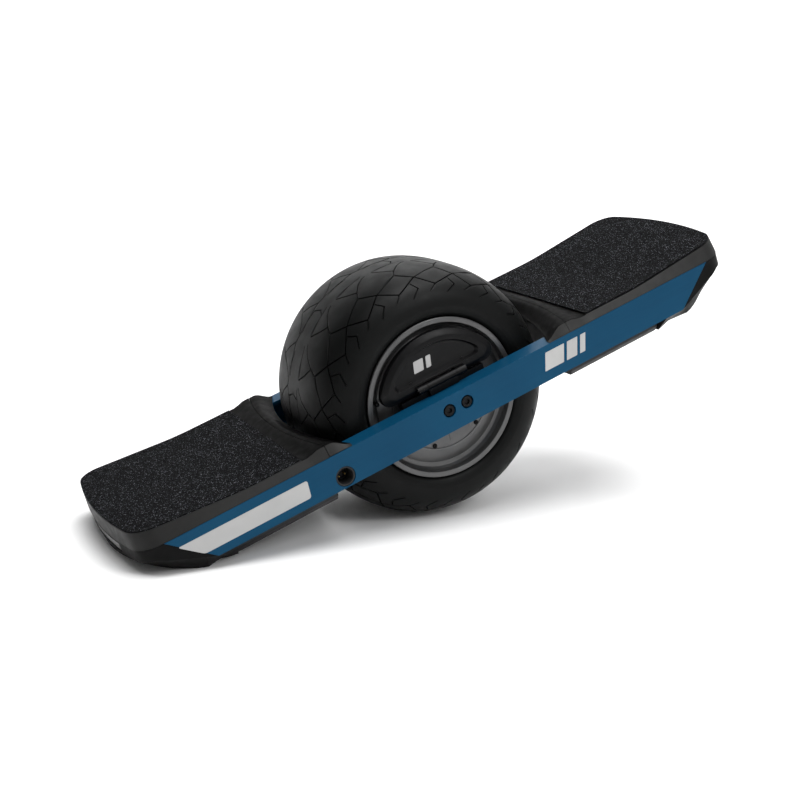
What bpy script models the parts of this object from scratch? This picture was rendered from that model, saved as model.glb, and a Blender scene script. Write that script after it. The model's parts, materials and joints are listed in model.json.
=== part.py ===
"""Single-wheel self-balancing board, leaning on its rear bumper and its tyre.

Every piece is modelled in the board's own frame: origin on the wheel axle, +X towards the
front, +Y to the rider's left, +Z up through the deck. Two empties at the axle carry them:
"board" tilts the whole board about the axle, and "wheel" carries what spins.
"""
from math import asin, atan2, cos, hypot, pi, radians, sin, sqrt, tan

import bmesh
import bpy
from mathutils import Vector

# ---- driving dimensions, metres -------------------------------------------------------------
GAP = 0.0003                    # clearance between neighbouring pieces
HALF_WIDTH = 0.12065            # to a rail's outer face
TYRE_RADIUS = 0.1425
TYRE_HALF_WIDTH = 0.0882
TYRE_WALL = 0.0065
CROWN_POWER = 2.87              # squareness of the tyre's section
WHEEL_STEPS = 40
RIM_RADIUS = 0.0900             # outer edge of the rim's flange
RIM_HALF_WIDTH = 0.0853         # to the flange's outer face
BEAD_SEAT_RADIUS = 0.0760
VALVE_RADIUS = 0.0776

RAIL_DEPTH = 0.0230             # across its top flange
RAIL_TOP = 0.0146
RAIL_BOTTOM = -0.0249
RAIL_WEB = 0.0070
RAIL_FLANGE = 0.0040
RAIL_CHAMFER = 0.0008
RAIL_TOP_REACH = 0.3440         # half length of the rail along its top edge
RAIL_BOTTOM_REACH = 0.2987
AXLE_BOLT_X = 0.01125
AXLE_BOLT_Z = -0.0014
COUNTERBORE_RADIUS = 0.0075
COUNTERBORE_DEPTH = 0.0045
SIDE_PORT_X = -0.1447           # charging socket on one rail, power button on the other
SIDE_PORT_Z = -0.0127
SIDE_PORT_RADIUS = 0.0112

END_REACH = 0.3812              # board's half length
SKIRT_BOTTOM = RAIL_TOP + GAP   # underside of the footpads
PAD_TOP = 0.0250                # walking surface, on top of the grip
GRIP_THICKNESS = 0.0010
SENSOR_THICKNESS = 0.0006
KICK_START = 0.2500             # where the deck starts to rise towards its end
KICK_SLOPE = 0.085
SKIRT_WIDTH = 0.0058            # sloping edge of a footpad, seen from above
END_SKIRT = 0.0012
CORNER_RADIUS = 0.0220
END_BOW = 0.0140                # how far the board's ends curve back at its sides
GRIP_START = 0.1810
ARCH_CENTRE = 0.1500            # wheel opening's edge on the centre line
ARCH_SWEEP = 0.0275             # how much nearer the wheel it is over the rails
SEAM_SHARE = 0.57               # where the fender lip meets the footpad, across the ramp

BOX_INNER = 0.1525              # battery and controller housings, along X
BOX_OUTER = 0.2750
BOX_HALF_WIDTH = 0.0970
BOX_BOTTOM = -0.0455
BOX_TOP = 0.0110
BOX_WALL = 0.0030
BOX_CHAMFER = 0.0065
LID_THICKNESS = 0.0030

SKID_X = 0.3360                 # the bumper's lowest edge when the board leans on it
SKID_Z = -0.0265

LIGHT_HALF = 0.0600             # half the width of the lights across the bumper
LIGHT_LOW, LIGHT_HIGH = 0.0015, 0.0115
LIGHT_RECESS = 0.3700           # how far out the lights' window, lens and board are
LENS_REACH = (0.3726, 0.3804)
LIGHT_BOARD_REACH = (0.3704, 0.3720)
BUMPER_HALF = HALF_WIDTH - GAP
BUMPER_WALL = 0.0040
BUMPER_FLAT = -0.0445           # underside next to the housing
SKID_START_HALF = 0.0900        # skid face's half width next to the housing and at its widest
SKID_HALF = 0.1090
SKID_WIDENS = 0.2930
SKID_ARC_START = 0.3110         # where the face's outline becomes half an ellipse
SKID_END = 0.3800
CHEEK_END = 0.0008              # cheek's lower edge at the board's end
CHEEK_SLOPE = 0.436
CORNER_START = 0.3280
POCKET_HALF = 0.0860            # hollow inside the bumper: half width, inner end, floor, end wall
POCKET_START_Z = -0.0380
POCKET_FLOOR = ((0.3000, -0.0335), (0.3340, -0.0225), (0.3620, -0.0085), (0.3660, -0.0050))

PAD_SCREW_Y = HALF_WIDTH - 0.0140
PAD_SCREWS = (0.2050, 0.3180)   # two screws along each side of a footpad

CELL_RADIUS = 0.0092
CELL_PITCH = 0.0186
CELL_LENGTH = 0.0650
CELLS_PER_ROW = 5

BUTTON_TRAVEL = 0.0015
BUTTON_RADIUS = 0.0070

HUB_COVER_FACE = 0.0800
AXLE_RADIUS = 0.0085
AXLE_END = 0.1000
BLOCK_INNER_Y = 0.0870          # axle block's boss, next to the hub
BLOCK_STEP_Y = 0.0926
STATOR_TEETH = 18
STATOR_HALF = 0.0300
STATOR_HOLES = 6                # lightening holes between the axle and the teeth
STATOR_HOLE_RADIUS = 0.0112
STATOR_HOLE_CIRCLE = 0.0270

HINGE_Y = -0.0990
HINGE_Z = 0.0260
HINGE_RADIUS = 0.0043
HINGE_PIN_RADIUS = 0.0020
KNUCKLE_SPLIT = 0.0185          # where the fixed barrel ends and the handle's knuckles start
KNUCKLE_END = 0.0305
HANDLE_RADIUS = 0.0790
HANDLE_CHORD = 0.0205
HANDLE_CORNER = 0.0120
HANDLE_OUTER_Y = -0.0970
HANDLE_INNER_Y = -0.0850

CONTACT_RADIUS = TYRE_RADIUS * cos(pi / WHEEL_STEPS)
LEAN = asin(CONTACT_RADIUS / hypot(SKID_X, SKID_Z)) - atan2(-SKID_Z, SKID_X)


# ---- scene and materials --------------------------------------------------------------------
def clear_scene():
    for item in list(bpy.data.objects):
        bpy.data.objects.remove(item, do_unlink=True)


def material(name, colour, roughness, metallic=0.0):
    found = bpy.data.materials.get(name)
    if found:
        return found
    made = bpy.data.materials.new(name)
    made.use_nodes = True
    shader = made.node_tree.nodes["Principled BSDF"]
    shader.inputs["Base Color"].default_value = (*colour, 1.0)
    shader.inputs["Roughness"].default_value = roughness
    shader.inputs["Metallic"].default_value = metallic
    return made


def finishes():
    return {
        "anodised_rail": material("anodised_rail", (0.02, 0.12, 0.24), 0.38, 0.6),
        "tyre": material("tyre", (0.012, 0.012, 0.012), 0.6),
        "hub_paint": material("hub_paint", (0.035, 0.035, 0.036), 0.42, 0.3),
        "deck_plastic": material("deck_plastic", (0.030, 0.030, 0.030), 0.55),
        "bumper_plastic": material("bumper_plastic", (0.018, 0.018, 0.018), 0.6),
        "grip": material("grip", (0.013, 0.014, 0.017), 0.95),
        "sensor_film": material("sensor_film", (0.35, 0.20, 0.06), 0.5),
        "steel": material("steel", (0.55, 0.55, 0.56), 0.3, 1.0),
        "cast_aluminium": material("cast_aluminium", (0.40, 0.40, 0.41), 0.5, 1.0),
        "black_steel": material("black_steel", (0.02, 0.02, 0.02), 0.4, 0.9),
        "housing": material("housing", (0.02, 0.02, 0.02), 0.65),
        "cells": material("cells", (0.03, 0.12, 0.30), 0.5),
        "circuit": material("circuit", (0.01, 0.10, 0.05), 0.5),
        "copper": material("copper", (0.60, 0.25, 0.10), 0.35, 1.0),
        "brass": material("brass", (0.70, 0.55, 0.25), 0.3, 1.0),
        "lens": material("lens", (0.03, 0.03, 0.035), 0.08),
        "handle_plastic": material("handle_plastic", (0.025, 0.025, 0.026), 0.35),
        "button": material("button", (0.5, 0.5, 0.5), 0.3, 0.8),
    }


# ---- mesh helpers ---------------------------------------------------------------------------
def add_object(name, bm, finish, parent, smooth_angle=None):
    """Turn a bmesh into a named object with outward normals, hung on its parent empty."""
    bmesh.ops.recalc_face_normals(bm, faces=bm.faces)
    mesh = bpy.data.meshes.new(name)
    bm.to_mesh(mesh)
    bm.free()
    if smooth_angle is not None:
        mesh.shade_smooth()
        mesh.set_sharp_from_angle(angle=radians(smooth_angle))
    mesh.materials.append(finish)
    made = bpy.data.objects.new(name, mesh)
    bpy.context.scene.collection.objects.link(made)
    made.parent = parent
    return made


def loft(bm, rings, close=False):
    """Skin equal rings of points; cap both ends, or join the last ring to the first."""
    rows = [[bm.verts.new(point) for point in ring] for ring in rings]
    pairs = list(zip(rows, rows[1:] + rows[:1] if close else rows[1:]))
    for low, high in pairs:
        for i in range(len(low)):
            j = (i + 1) % len(low)
            bm.faces.new((low[i], low[j], high[j], high[i]))
    if not close:
        bm.faces.new(rows[0])
        bm.faces.new(rows[-1])


def prism(outline, axis, low, high):
    """Extrude an outline of (u, v) points; axis names the direction it is extruded along."""
    place = {
        "X": lambda u, v, w: (w, u, v),
        "Y": lambda u, v, w: (u, w, v),
        "Z": lambda u, v, w: (u, v, w),
    }[axis]
    bm = bmesh.new()
    loft(bm, [[place(u, v, w) for u, v in outline] for w in (low, high)])
    return bm


def box(x, y, z):
    """A block between three (low, high) pairs."""
    return prism([(x[0], z[0]), (x[1], z[0]), (x[1], z[1]), (x[0], z[1])], "Y", *y)


def circle(radius, steps, u=0.0, v=0.0, turn=0.0):
    angles = [turn + 2 * pi * i / steps for i in range(steps)]
    return [(u + radius * cos(a), v + radius * sin(a)) for a in angles]


def cylinders(spans, axis, steps):
    """One bmesh of separate cylinders, each (u, v, radius, low, high)."""
    whole = bmesh.new()
    for u, v, radius, low, high in spans:
        piece = prism(circle(radius, steps, u, v), axis, low, high)
        mesh = bpy.data.meshes.new("span")
        piece.to_mesh(mesh)
        piece.free()
        whole.from_mesh(mesh)
        bpy.data.meshes.remove(mesh)
    return whole


def revolve(section, steps, turn=0.0):
    """Turn a closed section of (radius, y) points about the Y axis into a ring."""
    bm = bmesh.new()
    rings = []
    for i in range(steps):
        a = turn + 2 * pi * i / steps
        rings.append([(radius * cos(a), y, radius * sin(a)) for radius, y in section])
    loft(bm, rings, close=True)
    return bm


def turned(section, steps):
    """Turn an open section about Y; it starts and ends on the axis, so both ends are caps."""
    bm = bmesh.new()
    rings = [[(r * cos(2 * pi * i / steps), y, r * sin(2 * pi * i / steps)) for i in range(steps)]
             for r, y in section]
    loft(bm, rings)
    return bm


def boolean(target, cutter, operation="DIFFERENCE"):
    """Cut or join with a guide that is left out of the model."""
    cutter.hide_render = True
    cutter.display_type = "WIRE"
    change = target.modifiers.new(cutter.name, "BOOLEAN")
    change.operation = operation
    change.solver = "EXACT"
    change.object = cutter


def guide(name, bm, parent):
    return add_object(name, bm, material("guide", (1, 0, 1), 0.5), parent)


# ---- deck surfaces --------------------------------------------------------------------------
def arch_edge(y):
    """|x| of the wheel opening's edge."""
    return ARCH_CENTRE - ARCH_SWEEP * (y / HALF_WIDTH) ** 2


def ramp_width(y):
    flat = GRIP_START - ARCH_CENTRE
    return flat + 0.020 * (y / HALF_WIDTH) ** 2


def seam(y):
    return arch_edge(y) + SEAM_SHARE * ramp_width(y)


def ease(t):
    t = min(max(t, 0.0), 1.0)
    return t * t * (3 - 2 * t)


def ramp_height(x, y):
    """Height of the raised lip around the wheel over the flat deck."""
    crest, edge_drop = 0.0035, 0.0045
    t = (x - arch_edge(y)) / ramp_width(y)
    if t > 0.70:
        return crest * ease((1 - t) / 0.30)
    return crest - (crest + edge_drop) * (1 - ease(t / 0.45)) if t < 0.45 else crest


def kick(x):
    """Height that the deck gains towards the board's end."""
    blend = 0.020
    past = x - KICK_START
    if past < -blend:
        return 0.0
    if past < blend:
        return KICK_SLOPE * (past + blend) ** 2 / (4 * blend)
    return KICK_SLOPE * past


def deck_height(x, y):
    return PAD_TOP + kick(x) + ramp_height(x, y)


def bow(y):
    """How far the board's curved end lies behind its middle."""
    return END_BOW * (y / HALF_WIDTH) ** 2


def end_curve(end, half_width, corner, steps):
    """Half of the end's plan outline, from its side round the corner to the centre line."""
    points = []
    for i in range(steps + 1):
        a = pi / 2 * i / steps
        y = half_width - corner + corner * cos(a)
        points.append((end - corner + corner * sin(a) - bow(y), y))
    flat = half_width - corner
    return points + [(end - bow(y), y) for y in (flat * 0.75, flat * 0.5, flat * 0.25)]


def rounded_end(start, end, half_width, corner, steps=7, wheel_edge=None):
    """Plan outline of one end of the deck: straight sides, round corners, shaped inner edge."""
    side = end_curve(end, half_width, corner, steps)
    outline = side + [(end, 0.0)] + [(x, -y) for x, y in reversed(side)]
    columns = 14
    for i in range(columns + 1):
        y = half_width * (2 * i / columns - 1)
        outline.append((wheel_edge(y) if wheel_edge else start, y))
    return outline


def cells(outline, cuts_x, cuts_y):
    """A flat sheet with the given outline, divided along straight lines."""
    bm = bmesh.new()
    bm.faces.new([bm.verts.new((x, y, 0.0)) for x, y in outline])
    for normal, places in (((1, 0, 0), cuts_x), ((0, 1, 0), cuts_y)):
        for place in places:
            everything = bm.verts[:] + bm.edges[:] + bm.faces[:]
            point = [place * n for n in normal]
            bmesh.ops.bisect_plane(bm, geom=everything, dist=1e-6, plane_co=point, plane_no=normal)
    return bm


def slab(sheet, height, floor, spread=None):
    """Give a flat sheet its upper surface and a flat underside, spread outwards at the edge."""
    rim = [edge for edge in sheet.edges if edge.is_boundary]
    top = list(sheet.verts)
    grown = bmesh.ops.extrude_edge_only(sheet, edges=rim)["geom"]
    low = [item for item in grown if isinstance(item, bmesh.types.BMVert)]
    edge_verts = set(low)
    low_edges = [e for e in sheet.edges if edge_verts.issuperset(e.verts)]
    for vert in low:
        x, y = spread(vert.co.x, vert.co.y) if spread else (vert.co.x, vert.co.y)
        vert.co = (x, y, floor)
    for vert in top:
        vert.co.z = height(vert.co.x, vert.co.y)
    bmesh.ops.edgeloop_fill(sheet, edges=low_edges)
    return sheet


def skirt_spread(x, y):
    """Where the deck's upper edge comes down to at the rail."""
    top_half = HALF_WIDTH - GAP - SKIRT_WIDTH
    out = y * (HALF_WIDTH - GAP) / top_half
    start = 0.300
    top_end = END_REACH - END_SKIRT
    return x + END_SKIRT * min(max((x - start) / (top_end - start), 0.0), 1.0), out


def sheet_piece(name, outline, cuts_x, cuts_y, height, thickness, finish, parent, front):
    """A thin sheet that follows the deck, such as grip tape."""
    bm = cells(outline, cuts_x, cuts_y)
    for vert in bm.verts:
        vert.co.z = height(vert.co.x, vert.co.y)
    mirror_ends(bm, front)
    if sum(face.normal.z for face in bm.faces) < 0:
        bmesh.ops.reverse_faces(bm, faces=bm.faces)
    mesh = bpy.data.meshes.new(name)
    bm.to_mesh(mesh)
    bm.free()
    mesh.materials.append(finish)
    made = bpy.data.objects.new(name, mesh)
    bpy.context.scene.collection.objects.link(made)
    made.parent = parent
    thick = made.modifiers.new("thickness", "SOLIDIFY")
    thick.thickness = thickness
    thick.offset = -1.0
    return made


def mirror_ends(bm, front):
    """Pieces are drawn for the front end; the rear end is their mirror image."""
    if not front:
        for vert in bm.verts:
            vert.co.x = -vert.co.x
        bmesh.ops.reverse_faces(bm, faces=bm.faces)
    bm.normal_update()


# ---- rails ----------------------------------------------------------------------------------
def rail_reach(z, extra=0.0):
    share = (z - RAIL_BOTTOM) / (RAIL_TOP - RAIL_BOTTOM)
    return RAIL_BOTTOM_REACH + (RAIL_TOP_REACH - RAIL_BOTTOM_REACH) * share + extra


def rail_section():
    """C-shaped section as (depth from the outer face, z), open towards the wheel."""
    c = RAIL_CHAMFER
    low, high = RAIL_BOTTOM, RAIL_TOP
    return [
        (0, low + c), (c, low), (RAIL_DEPTH, low), (RAIL_DEPTH, low + RAIL_FLANGE),
        (RAIL_WEB, low + RAIL_FLANGE), (RAIL_WEB, high - RAIL_FLANGE),
        (RAIL_DEPTH, high - RAIL_FLANGE), (RAIL_DEPTH, high), (c, high), (0, high - c),
    ]


def rail(name, side, finish, board):
    rings = []
    for end in (-1, 1):
        rings.append([(end * rail_reach(z), side * (HALF_WIDTH - d), z) for d, z in rail_section()])
    bm = bmesh.new()
    loft(bm, rings)
    made = add_object(name, bm, finish, board)
    outer = side * (HALF_WIDTH + 0.002)
    shelf = side * (HALF_WIDTH - COUNTERBORE_DEPTH)
    web = side * (HALF_WIDTH - RAIL_WEB - 0.002)
    through = side * (HALF_WIDTH - RAIL_DEPTH - 0.002)
    spans = [(SIDE_PORT_X, SIDE_PORT_Z, SIDE_PORT_RADIUS, *sorted((outer, through)))]
    for x in (-AXLE_BOLT_X, AXLE_BOLT_X):
        spans.append((x, AXLE_BOLT_Z, 0.0043, *sorted((outer, web))))
    boolean(made, guide(name + "_holes", cylinders(spans, "Y", 20), board))
    bores = [(x, AXLE_BOLT_Z, COUNTERBORE_RADIUS, *sorted((outer, shelf)))
             for x in (-AXLE_BOLT_X, AXLE_BOLT_X)]
    boolean(made, guide(name + "_counterbores", cylinders(bores, "Y", 20), board))
    high_z = RAIL_TOP + 0.002
    screws = [(x, side * PAD_SCREW_Y, 0.0027, RAIL_TOP - RAIL_FLANGE - 0.002, high_z)
              for x in pad_screw_places()]
    boolean(made, guide(name + "_screw_holes", cylinders(screws, "Z", 8), board))
    return made


def rail_clearance(name, board):
    """Guide that keeps a bumper clear of both rails."""
    whole = bmesh.new()
    for side in (-1, 1):
        low, high = RAIL_BOTTOM - GAP, RAIL_TOP + 0.002
        near, far = side * (HALF_WIDTH - RAIL_DEPTH - GAP), side * (HALF_WIDTH + 0.002)
        rings = []
        for end in (-1, 1):
            rings.append([(end * rail_reach(low, GAP * 2), near, low),
                          (end * rail_reach(low, GAP * 2), far, low),
                          (end * rail_reach(high, GAP * 2), far, high),
                          (end * rail_reach(high, GAP * 2), near, high)])
        loft(whole, rings)
    return guide(name, whole, board)


# ---- footpads, lips, grips ------------------------------------------------------------------
def pad_screw_places():
    return [end * x for end in (-1, 1) for x in PAD_SCREWS]


def pad_screw(name, x, y, finish, board):
    """Screw from inside the rail's channel, up through its flange into the footpad."""
    under = RAIL_TOP - RAIL_FLANGE - GAP
    rings = [[(x + u, y + v, z) for u, v in circle(radius, 8)]
             for radius, z in ((0.0036, under - 0.0028), (0.0042, under - 0.0022), (0.0042, under),
                               (0.0022, under), (0.0022, 0.0205))]
    bm = bmesh.new()
    loft(bm, rings)
    return add_object(name, bm, finish, board, 40)


def pad_recess(front):
    """How far the moulded deck lies below the walking surface."""
    return GRIP_THICKNESS + GAP + (SENSOR_THICKNESS + GAP if front else 0.0)


def footpad(name, front, finish, board):
    lower = pad_recess(front)
    half = HALF_WIDTH - GAP - SKIRT_WIDTH
    plan = rounded_end(0, END_REACH - END_SKIRT, half, CORNER_RADIUS, 6, lambda y: seam(y) + GAP)
    sheet = cells(plan, (0.172, 0.181, 0.235, 0.255, 0.275, 0.320),
                  (-0.104, -0.080, -0.045, 0.0, 0.045, 0.080, 0.104))
    bm = slab(sheet, lambda x, y: deck_height(x, y) - lower, SKIRT_BOTTOM, skirt_spread)
    mirror_ends(bm, front)
    made = add_object(name, bm, finish, board)
    sign = 1 if front else -1
    holes = [(sign * x, side * PAD_SCREW_Y, 0.0026, SKIRT_BOTTOM - 0.002, 0.0215)
             for x in PAD_SCREWS for side in (-1, 1)]
    boolean(made, guide(name + "_screw_holes", cylinders(holes, "Z", 8), board))
    return made


def grip_tape(name, front, finish, board):
    half = HALF_WIDTH - GAP - SKIRT_WIDTH - 0.0006
    plan = rounded_end(GRIP_START, END_REACH - END_SKIRT - 0.0006, half, CORNER_RADIUS - 0.0006, 6)
    return sheet_piece(name, plan, (0.235, 0.255, 0.275, 0.320), (-0.08, 0.0, 0.08),
                       deck_height, GRIP_THICKNESS, finish, board, front)


def foot_sensor(name, finish, board):
    plan = rounded_end(0.190, 0.345, 0.1020, 0.012, 4)
    under_grip = GRIP_THICKNESS + GAP
    return sheet_piece(name, plan, (0.235, 0.255, 0.275, 0.320), (0.0,),
                       lambda x, y: deck_height(x, y) - under_grip,
                       SENSOR_THICKNESS, finish, board, True)


def fender_lip(name, front, finish, board):
    """Raised moulding between a footpad and the wheel opening."""
    half = HALF_WIDTH - GAP - SKIRT_WIDTH
    columns = 16
    places = [half * (2 * i / columns - 1) for i in range(columns + 1)]
    bm = bmesh.new()
    rows = []
    for share in (0.0, 0.12, 0.26, 0.40, SEAM_SHARE):
        rows.append([bm.verts.new((arch_edge(y) + share * ramp_width(y), y, 0)) for y in places])
    for low, high in zip(rows, rows[1:]):
        for i in range(columns):
            bm.faces.new((low[i], low[i + 1], high[i + 1], high[i]))
    lower = pad_recess(front)
    slab(bm, lambda x, y: deck_height(x, y) - lower, SKIRT_BOTTOM, skirt_spread)
    mirror_ends(bm, front)
    return add_object(name, bm, finish, board)


# ---- bumpers and lights ---------------------------------------------------------------------
def skid(x):
    """Plane of the skid face, which lies flat on the floor when the board rests on that end."""
    return SKID_Z + (x - SKID_X) * tan(LEAN)


def cheek(x):
    """Lower edge of the bumper's upright side and end."""
    return min(RAIL_BOTTOM + max(x - RAIL_BOTTOM_REACH, 0.0) * CHEEK_SLOPE, CHEEK_END)


def skid_edge(x, y):
    """Point of the skid face's outline that lies inside a point of the bumper's own outline."""
    if x <= SKID_ARC_START:
        widening = max(x - SKID_WIDENS, 0.0) / (SKID_ARC_START - SKID_WIDENS)
        return x, SKID_START_HALF + (SKID_HALF - SKID_START_HALF) * widening
    out = x - SKID_ARC_START
    share = hypot(out / (SKID_END - SKID_ARC_START), y / SKID_HALF)
    return SKID_ARC_START + out / share, y / share


def bumper(name, front, finish, board):
    """Cup under the deck's end: upright cheeks, a sloping band and the skid face."""
    start = BOX_OUTER + GAP
    upper = end_curve(END_REACH, BUMPER_HALF, CORNER_RADIUS, 6)
    upper = [(x, BUMPER_HALF) for x in (start, SKID_WIDENS, RAIL_BOTTOM_REACH, SKID_ARC_START,
                                        CORNER_START)] + upper
    lower = [skid_edge(x, y) for x, y in upper]
    top = RAIL_TOP - GAP
    rings = []
    for outline, tip, level in ((lower, SKID_END, skid), (upper, END_REACH, cheek),
                                (upper, END_REACH, lambda x: top)):
        ring = outline + [(tip, 0.0)] + [(x, -y) for x, y in reversed(outline)]
        rings.append([(x, y, level(x)) for x, y in ring])
    bm = bmesh.new()
    loft(bm, rings)
    mirror_ends(bm, front)
    bmesh.ops.recalc_face_normals(bm, faces=bm.faces)
    made = add_object(name, bm, finish, board)
    sign = 1 if front else -1
    below = box(sorted((sign * (BOX_OUTER - 0.010), sign * (END_REACH + 0.002))),
                (-0.130, 0.130), (BUMPER_FLAT - 0.020, BUMPER_FLAT))
    boolean(made, guide(name + "_flat", below, board))
    boolean(made, rail_clearance(name + "_rail_space", board))
    ceiling = top - BUMPER_WALL
    hollow = [(BOX_OUTER - 0.005, POCKET_START_Z), *POCKET_FLOOR,
              (POCKET_FLOOR[-1][0], ceiling), (BOX_OUTER - 0.005, ceiling)]
    pocket = prism([(sign * x, z) for x, z in hollow], "Y", -POCKET_HALF, POCKET_HALF)
    boolean(made, guide(name + "_hollow", pocket, board))
    window = bowed_bar((LIGHT_RECESS, END_REACH + 0.002), LIGHT_HALF + GAP,
                       (LIGHT_LOW - GAP, LIGHT_HIGH + GAP), sign)
    boolean(made, guide(name + "_window", window, board))
    return made


def bowed_bar(reach, half, height, sign):
    """Bar across the board's end that follows its bow."""
    bm = bmesh.new()
    columns = 8
    rings = []
    for i in range(columns + 1):
        y = half * (2 * i / columns - 1)
        near, far = (sign * (x - bow(y)) for x in reach)
        rings.append([(near, y, height[0]), (far, y, height[0]), (far, y, height[1]),
                      (near, y, height[1])])
    loft(bm, rings)
    bmesh.ops.recalc_face_normals(bm, faces=bm.faces)
    return bm


def light(end, sign, finish, board):
    height = (LIGHT_LOW, LIGHT_HIGH)
    lens = bowed_bar(LENS_REACH, LIGHT_HALF, height, sign)
    add_object(end + "_light_lens", lens, finish["lens"], board)
    strip = bowed_bar(LIGHT_BOARD_REACH, LIGHT_HALF - 0.003, height, sign)
    add_object(end + "_light_board", strip, finish["circuit"], board)


# ---- housings under the deck ----------------------------------------------------------------
def tray_section(half, bottom, top, chamfer):
    return [(-half, bottom + chamfer), (-half + chamfer, bottom), (half - chamfer, bottom),
            (half, bottom + chamfer), (half, top), (-half, top)]


def housing(name, sign, finish, board):
    """Open-topped tray between the rails."""
    span = sorted((sign * BOX_INNER, sign * BOX_OUTER))
    outer = prism(tray_section(BOX_HALF_WIDTH, BOX_BOTTOM, BOX_TOP, BOX_CHAMFER), "X", *span)
    made = add_object(name, outer, finish, board)
    inner = prism(tray_section(BOX_HALF_WIDTH - BOX_WALL, BOX_BOTTOM + BOX_WALL, BOX_TOP + 0.01,
                               BOX_CHAMFER), "X", span[0] + BOX_WALL, span[1] - BOX_WALL)
    boolean(made, guide(name + "_space", inner, board))
    return made


def housing_lid(name, sign, finish, board):
    span = sorted((sign * BOX_INNER, sign * BOX_OUTER))
    plate = box(span, (-BOX_HALF_WIDTH, BOX_HALF_WIDTH),
                (BOX_TOP + GAP, BOX_TOP + GAP + LID_THICKNESS))
    return add_object(name, plate, finish, board)


def battery_brick(name, side, finish, board):
    """Shrink-wrapped brick of cells lying across the board, three nested rows of five."""
    first = -BOX_OUTER + BOX_WALL + 0.0110
    floor = BOX_BOTTOM + BOX_WALL + 0.0015 + CELL_RADIUS
    rise = CELL_PITCH * sin(pi / 3)
    last = CELLS_PER_ROW - 1
    arcs = []
    for i in range(CELLS_PER_ROW):
        arcs.append((i, 0, -165 if i else -200, -15 if i < last else 20))
    arcs.append((last + 0.5, 1, -40, 40))
    for i in reversed(range(CELLS_PER_ROW)):
        arcs.append((i, 2, 15 if i < last else -20, 165 if i else 200))
    outline = []
    for column, row, start, stop in arcs:
        steps = 3
        for k in range(steps + 1):
            a = radians(start + (stop - start) * k / steps)
            outline.append((first + column * CELL_PITCH + CELL_RADIUS * cos(a),
                            floor + row * rise + CELL_RADIUS * sin(a)))
    span = sorted((side * 0.0045, side * (0.0045 + CELL_LENGTH)))
    return add_object(name, prism(outline, "Y", *span), finish, board)


def circuit(name, x, y, z, chips, finish, board):
    """A circuit board with its components standing on it."""
    made = add_object(name, box(x, y, z), finish, board)
    for i, (px, py, sx, sy, height) in enumerate(chips):
        part = box((px - sx / 2, px + sx / 2), (py - sy / 2, py + sy / 2),
                   (z[1] - 0.0005, z[1] + height))
        boolean(made, guide("%s_component_%d" % (name, i), part, board), "UNION")
    return made


def capacitors(circuit_board, z, finish, board):
    cans = [(0.245, y, 0.009, z - 0.0005, z + 0.030) for y in (-0.022, 0.0, 0.022)]
    boolean(circuit_board, guide("capacitor_cans", cylinders(cans, "Z", 16), board), "UNION")


def electronics(finish, board):
    battery_brick("battery_brick_left", 1, finish["cells"], board)
    battery_brick("battery_brick_right", -1, finish["cells"], board)
    base = BOX_BOTTOM + BOX_WALL + 0.001
    circuit("battery_board", (-0.2650, -0.1650), (-0.086, -0.074), (base + 0.020, base + 0.0216),
            [(-0.250, -0.080, 0.012, 0.008, 0.004), (-0.200, -0.080, 0.020, 0.008, 0.003)],
            finish["circuit"], board)
    controller = circuit("controller_board", (0.1650, 0.2620), (-0.075, 0.075),
                         (base, base + 0.0020),
                         [(0.185, -0.040, 0.014, 0.014, 0.006), (0.185, 0.040, 0.014, 0.014, 0.006),
                          (0.212, 0.0, 0.026, 0.070, 0.003), (0.245, -0.052, 0.012, 0.026, 0.009),
                          (0.245, 0.052, 0.012, 0.026, 0.009)], finish["circuit"], board)
    capacitors(controller, base + 0.0020, finish["black_steel"], board)


# ---- charging socket and power button -------------------------------------------------------
def charging_socket(finish, board):
    mouth = -(HALF_WIDTH - 0.0010)
    back = -(HALF_WIDTH - RAIL_DEPTH - 0.0002)
    floor = back - 0.0045
    outer, bore = SIDE_PORT_RADIUS - GAP, 0.0088
    section = [(outer, back), (outer, mouth), (bore + 0.0012, mouth), (bore, mouth + 0.0012),
               (bore, floor)]
    shell = add_object("charge_port", turned(section, 20), finish["housing"], board, 40)
    shell.location = (SIDE_PORT_X, 0, SIDE_PORT_Z)
    for i in range(3):
        a = radians(90 + 120 * i)
        x, z = SIDE_PORT_X + 0.0042 * cos(a), SIDE_PORT_Z + 0.0042 * sin(a)
        pin = prism(circle(0.0012, 10, x, z), "Y", floor - 0.0070, floor - GAP)
        add_object("charge_pin_%d" % (i + 1), pin, finish["brass"], board, 40)


def power_button(finish, board):
    outer, bore = SIDE_PORT_RADIUS - GAP, BUTTON_RADIUS + 0.0004
    face = HALF_WIDTH - 0.0006
    back = HALF_WIDTH - RAIL_DEPTH + 0.0060
    section = [(bore, back), (outer, back), (outer, face - 0.0006), (outer - 0.0006, face),
               (bore + 0.0006, face), (bore, face - 0.0006)]
    bezel = add_object("power_button_bezel", revolve(section, 20), finish["black_steel"], board, 40)
    bezel.location = (SIDE_PORT_X, 0, SIDE_PORT_Z)
    base = back + BUTTON_TRAVEL + 0.0005
    cap_face = face - 0.0002
    cap = [(BUTTON_RADIUS, 0.0), (BUTTON_RADIUS, cap_face - base - 0.0008),
           (BUTTON_RADIUS - 0.0008, cap_face - base)]
    button = add_object("power_button", turned(cap, 20), finish["button"], board, 40)
    button.location = (SIDE_PORT_X, base, SIDE_PORT_Z)
    switch = prism(circle(0.0060, 16, SIDE_PORT_X, SIDE_PORT_Z), "Y",
                   HALF_WIDTH - RAIL_DEPTH + 0.0005, back - GAP)
    add_object("power_switch", switch, finish["housing"], board, 40)


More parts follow.
